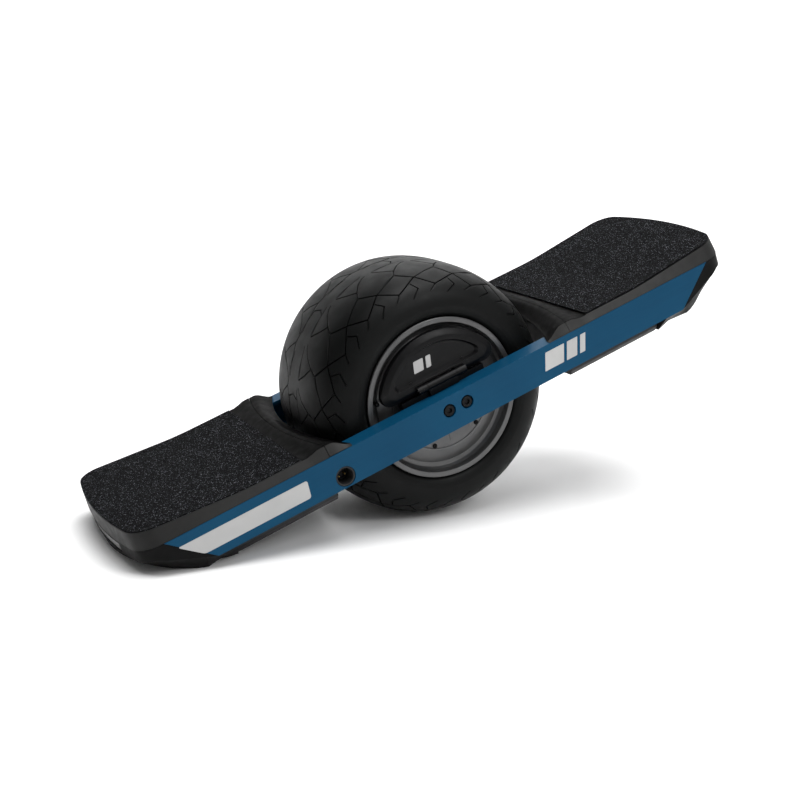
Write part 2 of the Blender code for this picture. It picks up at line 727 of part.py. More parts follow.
# ---- axle, blocks, motor --------------------------------------------------------------------
def axle_block(name, side, finish, board):
    """Casting that fills the rail's channel and holds one end of the fixed axle."""
    web_side = HALF_WIDTH - RAIL_WEB - GAP
    low, high = RAIL_BOTTOM + RAIL_FLANGE + GAP, RAIL_TOP - RAIL_FLANGE - GAP
    span = sorted((side * web_side, side * BLOCK_STEP_Y))
    made = add_object(name, box((-0.030, 0.030), span, (low, high)), finish, board)
    boss = box((-0.020, 0.020), sorted((side * (BLOCK_STEP_Y + 0.001), side * BLOCK_INNER_Y)),
               (low + 0.001, high - 0.0002))
    boolean(made, guide(name + "_boss", boss, board), "UNION")
    bore = cylinders([(0, 0, AXLE_RADIUS + GAP, *sorted((side * (BLOCK_INNER_Y - 0.002),
                                                         side * (AXLE_END + GAP))))], "Y", 24)
    boolean(made, guide(name + "_axle_bore", bore, board))
    holes = cylinders([(x, AXLE_BOLT_Z, 0.0041, *sorted((side * (web_side + 0.002),
                                                         side * (AXLE_END + 0.0018))))
                       for x in (-AXLE_BOLT_X, AXLE_BOLT_X)], "Y", 16)
    boolean(made, guide(name + "_bolt_holes", holes, board))
    return made


def axle_bolt(name, side, x, finish, board):
    """Socket-headed bolt through the rail's web into the axle block."""
    seat = HALF_WIDTH - COUNTERBORE_DEPTH + GAP
    tip = AXLE_END + 0.0022
    top = seat + 0.0036
    head, shank = 0.0064, 0.0038
    bm = turned([(shank, tip), (shank, seat), (head, seat), (head, top - 0.0006),
                 (head - 0.0006, top)], 16)
    if side < 0:
        for vert in bm.verts:
            vert.co.y = -vert.co.y
    for vert in bm.verts:
        vert.co.x += x
        vert.co.z += AXLE_BOLT_Z
    made = add_object(name, bm, finish, board, 40)
    depth = sorted((side * (top - 0.0026), side * (top + 0.002)))
    socket = prism(circle(0.0035, 6, x, AXLE_BOLT_Z), "Y", *depth)
    boolean(made, guide(name + "_socket", socket, board))
    return made


def stator(finish, board):
    half = STATOR_HALF
    root, tip, bore = 0.0460, 0.0620, AXLE_RADIUS + GAP
    outline = []
    for i in range(STATOR_TEETH):
        middle = 2 * pi * i / STATOR_TEETH
        pitch = 2 * pi / STATOR_TEETH
        for radius, share in ((root, -0.28), (tip, -0.40), (tip, 0.40), (root, 0.28)):
            a = middle + share * pitch
            outline.append((radius * cos(a), radius * sin(a)))
    core = add_object("stator_core", prism(outline, "Y", -half, half), finish["steel"], board)
    hole = prism(circle(bore, 24), "Y", -half - 0.002, half + 0.002)
    boolean(core, guide("stator_bore", hole, board))
    centres = circle(STATOR_HOLE_CIRCLE, STATOR_HOLES)
    relief = [(u, v, STATOR_HOLE_RADIUS, -half - 0.002, half + 0.002) for u, v in centres]
    boolean(core, guide("stator_relief", cylinders(relief, "Y", 16), board))
    for side, name in ((1, "winding_left"), (-1, "winding_right")):
        rings = []
        lumps = STATOR_TEETH * 2
        for i in range(lumps):
            a = 2 * pi * i / lumps
            swell = 0.0010 if i % 2 else 0.0
            low, high = 0.0480 - swell, 0.0585 + swell
            near, far = side * (half + GAP), side * (half + 0.0105 + swell)
            rings.append([(r * cos(a), y, r * sin(a)) for r, y in
                          ((low, near), (high, near), (high, far), (low, far))])
        bm = bmesh.new()
        loft(bm, rings, close=True)
        add_object(name, bm, finish["copper"], board)
    axle = turned([(AXLE_RADIUS, -AXLE_END), (AXLE_RADIUS, AXLE_END)], 24)
    add_object("axle_shaft", axle, finish["steel"], board, 40)


# ---- wheel ----------------------------------------------------------------------------------
def tyre_section():
    """Closed section of the tyre as (radius, y), out over the crown and back inside it."""
    crown_depth = 0.0497
    shoulder = TYRE_RADIUS - crown_depth
    outer = []
    count = 10
    for i in range(count + 1):
        a = radians(-85 + 170 * i / count)
        y = TYRE_HALF_WIDTH * abs(sin(a)) ** (2 / CROWN_POWER) * (1 if a > 0 else -1)
        outer.append((shoulder + crown_depth * cos(a) ** (2 / CROWN_POWER), y))
    seat = BEAD_SEAT_RADIUS + 0.0004
    bead = [(0.0930, 0.0855), (0.0908, 0.0826), (0.0866, 0.0764), (0.0780, 0.0683),
            (seat, 0.0610), (0.0850, 0.0640)]
    inner = []
    for i in range(7):
        a = radians(80 - 160 * i / 6)
        half = TYRE_HALF_WIDTH - TYRE_WALL
        y = half * abs(sin(a)) ** (2 / CROWN_POWER) * (1 if a > 0 else -1)
        depth = crown_depth - TYRE_WALL + 0.001
        inner.append((TYRE_RADIUS - TYRE_WALL - depth + depth * cos(a) ** (2 / CROWN_POWER), y))
    return outer + bead + inner + [(r, -y) for r, y in reversed(bead)]


def hub_shell_section():
    """Rim barrel with its two flanges; the side covers close its ends."""
    inner, well = 0.0690, 0.0735
    half = [(inner, 0.0735), (0.0800, 0.0737), (0.0828, 0.0775), (0.0838, RIM_HALF_WIDTH),
            (RIM_RADIUS - 0.0008, RIM_HALF_WIDTH), (RIM_RADIUS, RIM_HALF_WIDTH - 0.0010),
            (RIM_RADIUS - 0.0006, 0.0815), (0.0862, 0.0768), (0.0776, 0.0688),
            (BEAD_SEAT_RADIUS, 0.0600), (well, 0.0560)]
    return half + [(r, -y) for r, y in reversed(half)]


def hub_cover_section(side):
    """Side cover: cone at the rim, flat face, and a boss around its bearing."""
    face = HUB_COVER_FACE
    points = [(0.0115, face), (0.0115, 0.0738), (0.0178, 0.0735), (0.0178, 0.0610),
              (0.0225, 0.0610), (0.0225, 0.0700), (0.0683, 0.0700), (0.0683, 0.0738),
              (0.0750, 0.0738), (0.0750, 0.0752), (0.0600, face)]
    return [(r, side * y) for r, y in points]


def wheel(finish, spin):
    turn = pi / WHEEL_STEPS - pi / 2       # a flat of the tyre faces straight down
    add_object("tyre", revolve(tyre_section(), WHEEL_STEPS, turn), finish["tyre"], spin, 35)
    add_object("hub_shell", revolve(hub_shell_section(), WHEEL_STEPS, turn), finish["hub_paint"], spin, 35)
    magnets = [(0.0630, -0.031), (0.0687, -0.031), (0.0687, 0.031), (0.0630, 0.031)]
    add_object("magnet_ring", revolve(magnets, WHEEL_STEPS, turn), finish["steel"], spin, 35)
    for side, hand in ((1, "left"), (-1, "right")):
        cover = revolve(hub_cover_section(side), WHEEL_STEPS, turn)
        add_object("hub_cover_" + hand, cover, finish["hub_paint"], spin, 35)
        race = [(r, side * y) for r, y in ((AXLE_RADIUS + GAP, 0.0615), (0.0175, 0.0615),
                                           (0.0175, 0.0730), (AXLE_RADIUS + GAP, 0.0730))]
        add_object("bearing_" + hand, revolve(race, 24), finish["steel"], spin, 35)
    stem = turned([(0.0019, -0.0737 - GAP), (0.0019, -0.0800), (0.0026, -0.0802),
                   (0.0026, -0.0832), (0.0019, -0.0838)], 16)
    for vert in stem.verts:
        vert.co.x -= VALVE_RADIUS
    add_object("valve_stem", stem, finish["black_steel"], spin, 40)


# ---- carry handle ---------------------------------------------------------------------------
def handle_outline(inset):
    """Half-moon about the axle, flat along its hinge edge, with round ends."""
    radius = HANDLE_RADIUS - inset
    chord = HANDLE_CHORD + inset
    corner = HANDLE_CORNER - inset * 0.5
    centre_z = chord + corner
    reach = radius - corner
    centre_x = sqrt(reach * reach - centre_z * centre_z)
    turn = atan2(centre_z, centre_x)
    points = []
    corner_steps, arc_steps = 5, 18
    for i in range(corner_steps):
        a = -pi / 2 + (turn + pi / 2) * i / corner_steps
        points.append((centre_x + corner * cos(a), centre_z + corner * sin(a)))
    for i in range(arc_steps + 1):
        a = turn + (pi - 2 * turn) * i / arc_steps
        points.append((radius * cos(a), radius * sin(a)))
    for i in reversed(range(corner_steps)):
        a = -pi / 2 + (turn + pi / 2) * i / corner_steps
        points.append((-centre_x - corner * cos(a), centre_z + corner * sin(a)))
    return points


def carry_handle(finish, board):
    bm = bmesh.new()
    rings = []
    for inset, y in ((0.0015, HANDLE_INNER_Y), (0.0, HANDLE_INNER_Y - 0.0015),
                     (0.0, HANDLE_OUTER_Y + 0.0040), (0.0040, HANDLE_OUTER_Y)):
        rings.append([(u, y - HINGE_Y, v - HINGE_Z) for u, v in handle_outline(inset)])
    loft(bm, rings)
    made = add_object("carry_handle", bm, finish["handle_plastic"], board, 30)
    made.location = (0, HINGE_Y, HINGE_Z)
    dish = prism([(u, v + 0.0005) for u, v in handle_outline(0.0140)], "Y",
                 HANDLE_OUTER_Y - 0.002, HANDLE_OUTER_Y + 0.0045)
    boolean(made, guide("handle_dish", dish, board))
    notch = box((-KNUCKLE_SPLIT - 0.0007, KNUCKLE_SPLIT + 0.0007),
                (HANDLE_OUTER_Y - 0.002, HANDLE_INNER_Y + 0.002), (0.0100, 0.0318))
    boolean(made, guide("handle_notch", notch, board))
    for i, end in enumerate((-1, 1)):
        span = sorted((end * (KNUCKLE_SPLIT + GAP), end * KNUCKLE_END))
        knuckle = prism(circle(HINGE_RADIUS, 20, HINGE_Y, HINGE_Z), "X", *span)
        boolean(made, guide("handle_knuckle_%d" % i, knuckle, board), "UNION")
    boolean(made, guide("handle_pin_hole", prism(circle(HINGE_PIN_RADIUS + GAP, 16, HINGE_Y, HINGE_Z),
                                                 "X", -0.04, 0.04), board))
    middle_y = (HANDLE_OUTER_Y + HANDLE_INNER_Y) / 2
    pocket = box((0.0337, 0.0503), (middle_y - 0.0023, middle_y + 0.0023), (0.0190, 0.0241))
    boolean(made, guide("handle_magnet_pocket", pocket, board))
    magnet = box((-0.0080, 0.0080), (-0.0020, 0.0020), (0.0, 0.0030))
    magnet = add_object("handle_magnet", magnet, finish["steel"], board)
    magnet.location = (0.0420, middle_y, 0.0208)


def handle_bracket(finish, board):
    """Bar on the axle block that carries the hinge and stops the stowed handle."""
    foot = RAIL_TOP - RAIL_FLANGE
    bar = box((-0.0520, 0.0520), (-0.0972, -0.0870), (foot, HANDLE_CHORD - GAP))
    made = add_object("handle_bracket", bar, finish["black_steel"], board, 30)
    leaf = box((-KNUCKLE_SPLIT + 0.0002, KNUCKLE_SPLIT - 0.0002), (HINGE_Y - 0.0025, -0.0945),
               (RAIL_TOP + 0.0010, HINGE_Z))
    boolean(made, guide("bracket_leaf", leaf, board), "UNION")
    barrel = prism(circle(HINGE_RADIUS, 20, HINGE_Y, HINGE_Z), "X", -KNUCKLE_SPLIT, KNUCKLE_SPLIT)
    boolean(made, guide("bracket_barrel", barrel, board), "UNION")
    hole = prism(circle(HINGE_PIN_RADIUS + GAP, 16, HINGE_Y, HINGE_Z), "X", -0.04, 0.04)
    boolean(made, guide("bracket_pin_hole", hole, board))
    pin = prism(circle(HINGE_PIN_RADIUS, 16, HINGE_Y, HINGE_Z), "X", -0.0302, 0.0302)
    add_object("handle_hinge_pin", pin, finish["steel"], board, 40)


# ---- assembly -------------------------------------------------------------------------------
def empty(name):
    made = bpy.data.objects.new(name, None)
    bpy.context.scene.collection.objects.link(made)
    return made


def stand_on_floor(board, spin):
    """Put the axle where the leaning board's box is centred over the origin, on the floor."""
    board.rotation_euler.y = -LEAN
    bpy.context.view_layer.update()
    low, high = Vector((9, 9, 9)), Vector((-9, -9, -9))
    for item in bpy.context.scene.objects:
        if item.type == "MESH" and not item.hide_render:
            for vert in item.data.vertices:
                place = item.matrix_world @ vert.co
                low = Vector(map(min, low, place))
                high = Vector(map(max, high, place))
    axle = Vector((-(low.x + high.x) / 2, -(low.y + high.y) / 2, CONTACT_RADIUS))
    board.location = axle
    spin.location = axle


def main():
    clear_scene()
    finish = finishes()
    board, spin = empty("board"), empty("wheel")
    for side, hand in ((1, "left"), (-1, "right")):
        rail("rail_" + hand, side, finish["anodised_rail"], board)
        axle_block("axle_block_" + hand, side, finish["cast_aluminium"], board)
        for i, x in enumerate((-AXLE_BOLT_X, AXLE_BOLT_X)):
            axle_bolt("axle_bolt_%s_%d" % (hand, i + 1), side, x, finish["black_steel"], board)
        for i, x in enumerate(pad_screw_places()):
            pad_screw("pad_screw_%s_%d" % (hand, i + 1), x, side * PAD_SCREW_Y,
                      finish["black_steel"], board)
    for end, front in (("front", True), ("rear", False)):
        footpad(end + "_footpad", front, finish["deck_plastic"], board)
        grip_tape(end + "_grip", front, finish["grip"], board)
        fender_lip(end + "_fender_lip", front, finish["deck_plastic"], board)
        bumper(end + "_bumper", front, finish["bumper_plastic"], board)
        light(end, 1 if front else -1, finish, board)
    foot_sensor("foot_sensor", finish["sensor_film"], board)
    for name, sign in (("battery", -1), ("controller", 1)):
        housing(name + "_box", sign, finish["housing"], board)
        housing_lid(name + "_lid", sign, finish["housing"], board)
    electronics(finish, board)
    charging_socket(finish, board)
    power_button(finish, board)
    stator(finish, board)
    handle_bracket(finish, board)
    carry_handle(finish, board)
    wheel(finish, spin)
    stand_on_floor(board, spin)


main()
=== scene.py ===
"""Looks of the single-wheel self-balancing board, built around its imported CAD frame.

Most pieces are modelled in the board's own frame (origin on the axle, +X to the front, +Z up
through the deck), and BOARD carries them to the leaning board's place. The wheel's pieces use
WHEEL, which has the same origin but isn't tilted.
"""
import json
from math import atan2, cos, hypot, pi, radians, sin, sqrt, tan

import bmesh
import bpy
import numpy as np
from mathutils import Matrix, Vector, noise
from mathutils.geometry import delaunay_2d_cdt

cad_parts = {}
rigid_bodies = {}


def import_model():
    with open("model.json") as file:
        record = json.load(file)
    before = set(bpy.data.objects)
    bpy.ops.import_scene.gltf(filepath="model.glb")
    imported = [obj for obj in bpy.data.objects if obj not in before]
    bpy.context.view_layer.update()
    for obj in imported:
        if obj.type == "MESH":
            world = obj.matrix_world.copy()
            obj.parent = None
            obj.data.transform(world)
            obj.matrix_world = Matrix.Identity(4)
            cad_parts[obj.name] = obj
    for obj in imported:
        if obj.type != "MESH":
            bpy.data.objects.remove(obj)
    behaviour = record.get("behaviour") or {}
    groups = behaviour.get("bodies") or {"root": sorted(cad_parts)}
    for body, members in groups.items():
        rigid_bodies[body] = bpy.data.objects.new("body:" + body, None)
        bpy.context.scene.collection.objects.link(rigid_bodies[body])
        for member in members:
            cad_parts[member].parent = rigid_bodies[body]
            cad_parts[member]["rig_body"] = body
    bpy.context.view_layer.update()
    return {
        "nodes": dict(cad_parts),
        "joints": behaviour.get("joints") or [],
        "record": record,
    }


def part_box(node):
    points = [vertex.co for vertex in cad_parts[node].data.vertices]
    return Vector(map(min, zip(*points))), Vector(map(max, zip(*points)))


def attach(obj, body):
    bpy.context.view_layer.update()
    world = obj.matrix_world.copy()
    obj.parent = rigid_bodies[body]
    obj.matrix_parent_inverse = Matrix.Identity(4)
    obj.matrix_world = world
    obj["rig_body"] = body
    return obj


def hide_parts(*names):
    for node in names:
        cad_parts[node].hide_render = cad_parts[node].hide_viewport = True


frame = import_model()

# ---- the board's frame and sizes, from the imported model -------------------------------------
joints = {joint["name"]: joint for joint in frame["joints"]}
AXLE = Vector(joints["wheel_spin"]["pos_m"])
board_x = Vector(joints["handle_fold"]["axis"])
LEAN = atan2(board_x.z, board_x.x)
BOARD = Matrix.Translation(AXLE) @ Matrix.Rotation(-LEAN, 4, "Y")
WHEEL = Matrix.Translation(AXLE)
TO_BOARD = BOARD.inverted()


def board_box(node):
    """Lowest and highest corner of a CAD node, measured along the board's own axes."""
    points = [TO_BOARD @ v.co for v in frame["nodes"][node].data.vertices]
    return [Vector([pick(p[i] for p in points) for i in range(3)]) for pick in (min, max)]


rail_low, rail_high = board_box("rail_left")
lid_low, lid_high = board_box("battery_lid")
pad_low = board_box("front_footpad")[0]
flange_high = board_box("hub_shell")[1]
button_low, button_high = board_box("power_button")

GAP = 0.0003
HALF_WIDTH = rail_high.y
RAIL_TOP, RAIL_BOTTOM = rail_high.z, rail_low.z
RAIL_DEPTH = rail_high.y - rail_low.y
RAIL_TOP_REACH = rail_high.x
RAIL_BOTTOM_REACH = 0.2987
RAIL_WEB, RAIL_FLANGE = 0.0070, 0.0040
AXLE_BOLT_X, AXLE_BOLT_Z = 0.01125, -0.0014
BOLT_BORE, BOLT_BORE_DEPTH = 0.0075, 0.0045
PORT = Vector(((button_low.x + button_high.x) / 2, 0, (button_low.z + button_high.z) / 2))
PORT_RADIUS = 0.0112
END_REACH = 0.3812
SKIRT_BOTTOM = pad_low.z
PAD_TOP = 0.0250
KICK_START, KICK_SLOPE = 0.2500, 0.085
SKIRT_WIDTH, END_SKIRT = 0.0058, 0.0012
CORNER_RADIUS, END_BOW = 0.0220, 0.0140
GRIP_START = 0.1810
GRIP_THICKNESS = 0.0010
ARCH_CENTRE, ARCH_SWEEP = 0.1500, 0.0275
SEAM_SHARE = 0.57
TYRE_RADIUS = (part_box("tyre")[1].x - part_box("tyre")[0].x) / 2
TYRE_HALF_WIDTH = 0.0882
TYRE_CROWN = 0.0497
CROWN_POWER = 2.87
RIM_RADIUS = 0.0900
RIM_FACE = flange_high.y
HUB_FACE = 0.0800
HINGE = Vector((0.0, -0.0990, 0.0260))


# ---- materials ------------------------------------------------------------------------------
def tone(red, green, blue):
    """A colour from its usual 0-255 values."""
    return (*((c / 255 / 12.92) if c < 11 else ((c / 255 + 0.055) / 1.055) ** 2.4
              for c in (red, green, blue)), 1.0)


class Finish:
    """One procedural material, with short calls for the nodes that it is made of."""

    def __init__(self, name, metallic=0.0, **sockets):
        self.material = bpy.data.materials.new(name)
        self.material.use_nodes = True
        self.tree = self.material.node_tree
        self.shader = self.tree.nodes["Principled BSDF"]
        self.shader.inputs["Metallic"].default_value = metallic
        for socket, value in sockets.items():
            self.shader.inputs[socket.replace("_", " ")].default_value = value
        level = self.node("ShaderNodeVectorRotate", rotation_type="Y_AXIS")
        level.inputs["Angle"].default_value = LEAN
        self.link(self.node("ShaderNodeTexCoord").outputs["Object"], level.inputs["Vector"])
        self.place = level.outputs["Vector"]

    def node(self, kind, **settings):
        made = self.tree.nodes.new(kind)
        for key, value in settings.items():
            setattr(made, key, value)
        return made

    def link(self, source, target):
        self.tree.links.new(source, target)

    def maths(self, operation, *values):
        made = self.node("ShaderNodeMath", operation=operation)
        for value, socket in zip(values, made.inputs):
            if isinstance(value, (int, float)):
                socket.default_value = value
            else:
                self.link(value, socket)
        return made.outputs[0]

    def stretched(self, scale):
        mapping = self.node("ShaderNodeMapping")
        mapping.inputs["Scale"].default_value = scale
        self.link(self.place, mapping.inputs["Vector"])
        return mapping.outputs["Vector"]

    def noise(self, scale, detail=3.0, stretch=(1, 1, 1)):
        texture = self.node("ShaderNodeTexNoise")
        self.link(self.stretched(stretch), texture.inputs["Vector"])
        texture.inputs["Scale"].default_value = scale
        texture.inputs["Detail"].default_value = detail
        return texture.outputs["Fac"]

    def grains(self, scale, output="Color"):
        texture = self.node("ShaderNodeTexVoronoi")
        self.link(self.place, texture.inputs["Vector"])
        texture.inputs["Scale"].default_value = scale
        return texture.outputs[output]

    def ramp(self, value, *stops):
        ramp = self.node("ShaderNodeValToRGB")
        self.link(value, ramp.inputs["Fac"])
        points = ramp.color_ramp.elements
        for (place, colour), point in zip(stops, points):
            point.position, point.color = place, colour
        for place, colour in stops[2:]:
            points.new(place).color = colour
        return ramp.outputs["Color"]

    def span(self, value, low, high, start=0.3, stop=0.7):
        """Stretch a value that lies between start and stop over low to high."""
        spread = self.node("ShaderNodeMapRange")
        self.link(value, spread.inputs["Value"])
        for key, number in (("From Min", start), ("From Max", stop), ("To Min", low),
                            ("To Max", high)):
            spread.inputs[key].default_value = number
        return spread.outputs["Result"]

    def mix(self, share, first, second, blend="MIX"):
        mixed = self.node("ShaderNodeMix", data_type="RGBA", blend_type=blend)
        for source, socket in ((share, mixed.inputs[0]), (first, mixed.inputs[6]),
                               (second, mixed.inputs[7])):
            if isinstance(source, bpy.types.NodeSocket):
                self.link(source, socket)
            else:
                socket.default_value = source
        return mixed.outputs[2]

    def colour(self, source):
        self.link(source, self.shader.inputs["Base Color"])

    def rough(self, source):
        self.link(source, self.shader.inputs["Roughness"])

    def bump(self, *layers):
        """Each layer is (height, strength, distance in metres), the broadest first."""
        last = None
        for height, strength, distance in layers:
            bump = self.node("ShaderNodeBump")
            bump.inputs["Strength"].default_value = strength
            bump.inputs["Distance"].default_value = distance
            self.link(height, bump.inputs["Height"])
            if last:
                self.link(last, bump.inputs["Normal"])
            last = bump.outputs["Normal"]
        self.link(last, self.shader.inputs["Normal"])


def anodised_finish():
    """Anodised aluminium with a fine brushed grain and faint handling marks."""
    made = Finish("anodised_rail", metallic=0.05, Specular_IOR_Level=0.12)
    dark, light = tone(3, 56, 84), tone(5, 63, 92)
    grain = made.noise(1.0, 4.0, (14, 700, 700))
    cloud = made.noise(9.0, 2.0)
    base = made.ramp(cloud, (0.30, dark), (0.72, light))
    made.colour(made.mix(made.span(grain, 0.0, 0.06), base, light, "SCREEN"))
    made.rough(made.span(made.noise(55.0, 4.0), 0.34, 0.46))
    made.bump((grain, 0.10, 0.0002), (made.noise(2600.0, 1.0), 0.08, 0.00005))
    return made.material


def moulded_finish(name, dark, light, roughness=(0.48, 0.62), grain=1500.0, depth=0.00012,
                   metallic=0.0, cloud=18.0, coat=0.0, gloss=0.35):
    """Moulded plastic or painted casting: fine surface grain, uneven sheen, slight fading."""
    made = Finish(name, metallic=metallic, Coat_Weight=coat, Specular_IOR_Level=gloss)
    made.colour(made.ramp(made.noise(cloud, 4.0), (0.32, dark), (0.70, light)))
    made.rough(made.span(made.noise(cloud * 6, 5.0), *roughness))
    made.bump((made.noise(cloud * 5, 2.0), 0.06, 0.0004),
              (made.noise(grain, 2.0), 0.30, depth))
    return made.material


def footpad_finish():
    """Footpad plastic, darker on the moulded ramp between the grip and the wheel."""
    made = Finish("footpad_plastic")
    across = made.node("ShaderNodeSeparateXYZ")
    made.link(made.place, across.inputs[0])
    offset = (TO_BOARD.to_3x3() @ AXLE).x
    reach = made.maths("ABSOLUTE", made.maths("SUBTRACT", across.outputs[0], offset))
    inside = made.maths("MULTIPLY", made.maths("LESS_THAN", reach, GRIP_START),
                        made.maths("LESS_THAN", made.maths("ABSOLUTE", across.outputs[1]),
                                   HALF_WIDTH - SKIRT_WIDTH))
    fade = made.ramp(made.noise(18.0, 4.0), (0.32, tone(15, 15, 15)), (0.70, tone(21, 21, 20)))
    made.colour(made.mix(inside, fade, tone(1, 1, 1)))
    made.rough(made.span(made.noise(108.0, 5.0), 0.48, 0.62))
    gloss = made.maths("MULTIPLY_ADD", inside, -0.25, 0.28)
    made.link(gloss, made.shader.inputs["Specular IOR Level"])
    made.bump((made.noise(90.0, 2.0), 0.06, 0.0004), (made.noise(1500.0, 2.0), 0.30, 0.00012))
    return made.material


def metal_finish(name, dark, light, roughness=(0.22, 0.38), along=(300, 40, 300)):
    """Bare or plated metal with turning or rolling marks."""
    made = Finish(name, metallic=1.0)
    marks = made.noise(1.0, 4.0, along)
    made.colour(made.ramp(marks, (0.30, dark), (0.72, light)))
    made.rough(made.span(made.noise(120.0, 4.0), *roughness))
    made.bump((marks, 0.12, 0.0001), (made.noise(3000.0, 1.0), 0.05, 0.00004))
    return made.material


def rubber_finish():
    """Tyre rubber: fine pores, faint mould bloom, and dust in scattered patches."""
    made = Finish("tyre_rubber", IOR=1.5, Specular_IOR_Level=0.13)
    bloom = made.ramp(made.noise(16.0, 5.0), (0.35, tone(4, 5, 5)), (0.72, tone(7, 8, 8)))
    dust = made.span(made.noise(140.0, 4.0), 0.0, 0.22, 0.45, 0.75)
    made.colour(made.mix(dust, bloom, tone(11, 11, 10)))
    made.rough(made.span(made.noise(60.0, 5.0), 0.40, 0.54))
    made.bump((made.noise(70.0, 3.0), 0.10, 0.0005), (made.noise(900.0, 3.0), 0.22, 0.00018),
              (made.noise(2800.0, 1.0), 0.15, 0.00006))
    return made.material


def grip_finish():
    """Coarse mineral grit: near-black grains and some grey ones, with a few bright specks that are
    painted glints.
    """
    made = Finish("grit", Specular_IOR_Level=0.03)
    cell = made.node("ShaderNodeSeparateColor")
    made.link(made.grains(1250.0), cell.inputs["Color"])
    # The last, brightest stop paints glints of light onto the grit; the darker stops are the
    # grains' own colours.
    grit_and_painted_glints = made.ramp(cell.outputs["Red"], (0.0, tone(3, 3, 4)), (0.60, tone(5, 6, 7)),
                       (0.82, tone(11, 12, 14)), (0.93, tone(24, 26, 30)),
                       (0.985, tone(104, 106, 112)))
    worn = made.span(made.noise(14.0, 4.0), 0.0, 0.35, 0.35, 0.70)
    made.colour(made.mix(worn, grit_and_painted_glints, tone(7, 8, 9)))
    made.rough(made.span(cell.outputs["Green"], 0.55, 0.98, 0.0, 1.0))
    made.bump((made.grains(1250.0, "Distance"), 0.80, 0.0004),
              (made.noise(2400.0, 3.0), 0.50, 0.0003))
    return made.material


def decal_finish():
    """Printed vinyl: nearly even ink under a soft-gloss film."""
    made = Finish("decal_white")
    made.colour(made.ramp(made.noise(22.0, 4.0), (0.30, tone(160, 160, 160)),
                          (0.75, tone(174, 174, 173))))
    made.rough(made.span(made.noise(150.0, 3.0), 0.30, 0.42))
    made.bump((made.noise(90.0, 2.0), 0.05, 0.0003), (made.noise(2500.0, 1.0), 0.06, 0.00004))
    return made.material


def circuit_finish():
    """Solder mask over copper, with lines of traces and pale pads."""
    made = Finish("circuit")
    traces = made.node("ShaderNodeTexBrick")
    made.link(made.stretched((260, 260, 260)), traces.inputs["Vector"])
    traces.inputs["Color1"].default_value = tone(14, 70, 44)
    traces.inputs["Color2"].default_value = tone(18, 88, 52)
    traces.inputs["Mortar"].default_value = tone(40, 110, 70)
    traces.inputs["Mortar Size"].default_value = 0.05
    made.colour(made.mix(made.span(made.noise(300.0), 0.0, 0.5, 0.5, 0.7),
                         traces.outputs["Color"], tone(120, 118, 100)))
    made.rough(made.span(made.noise(200.0), 0.30, 0.50))
    made.bump((traces.outputs["Fac"], 0.3, 0.0001))
    return made.material


def banded_finish(name, direction, scale, low, high, roughness, bump, rough_noise, **settings):
    """A finish with even bands: a wave from one (place, colour) to the other."""
    made = Finish(name, **settings)
    bands = made.node("ShaderNodeTexWave", bands_direction=direction)
    made.link(made.place, bands.inputs["Vector"])
    bands.inputs["Scale"].default_value = scale
    made.colour(made.ramp(bands.outputs["Fac"], low, high))
    made.rough(made.span(made.noise(rough_noise), *roughness))
    made.bump((bands.outputs["Fac"], *bump))
    return made.material


def finishes():
    """One finish for each of the record's material slots, and a few more for details."""
    return {
        "anodised_rail": anodised_finish(),
        "tyre": rubber_finish(),
        "hub_paint": moulded_finish("hub_paint", tone(82, 82, 83), tone(95, 95, 95),
                                    (0.32, 0.44), 900.0, 0.00006, 0.75),
        "deck_plastic": moulded_finish("deck_plastic", tone(10, 10, 10), tone(15, 15, 14),
                                       gloss=0.28),
        "bumper_plastic": moulded_finish("bumper_plastic", tone(4, 4, 4), tone(7, 7, 7),
                                         gloss=0.10),
        "grip": grip_finish(),
        "sensor_film": banded_finish("sensor_film", "X", 90.0, (0.35, tone(150, 96, 40)),
                                     (0.60, tone(186, 120, 52)), (0.30, 0.45),
                                     (0.2, 0.00008), 80.0),
        "steel": metal_finish("turned_steel", tone(130, 130, 132), tone(176, 176, 178)),
        "cast_aluminium": metal_finish("cast_aluminium", tone(112, 112, 114),
                                       tone(140, 140, 142), (0.42, 0.58), (160, 160, 160)),
        "black_steel": moulded_finish("black_oxide", tone(10, 10, 11), tone(18, 18, 19),
                                      (0.28, 0.42), 1400.0, 0.00006, 0.7),
        "housing": moulded_finish("housing_plastic", tone(24, 24, 25), tone(33, 33, 34),
                                  (0.52, 0.68), 1200.0, 0.00015),
        "cells": moulded_finish("shrink_wrap", tone(26, 66, 132), tone(40, 88, 160),
                                (0.22, 0.36), 60.0, 0.0004, coat=0.4),
        "circuit": circuit_finish(),
        "copper": banded_finish("winding_wire", "Y", 700.0, (0.2, tone(104, 46, 20)),
                                (0.8, tone(190, 104, 58)), (0.25, 0.40), (0.6, 0.0003),
                                200.0, metallic=0.9),
        "brass": metal_finish("plated_brass", tone(172, 140, 84), tone(212, 182, 120)),
        "lens": banded_finish("smoked_lens", "Y", 130.0, (0.2, tone(20, 20, 22)),
                              (0.8, tone(44, 44, 48)), (0.08, 0.16), (0.25, 0.0004), 60.0,
                              IOR=1.49, Coat_Weight=0.6),
        "handle_plastic": moulded_finish("handle_plastic", tone(4, 4, 5), tone(7, 7, 8),
                                         (0.34, 0.42), 1300.0, 0.00004, gloss=0.16),
        "button": metal_finish("button_cap", tone(120, 120, 124), tone(160, 160, 164)),
        "footpad": footpad_finish(),
        "decal": decal_finish(),
    }


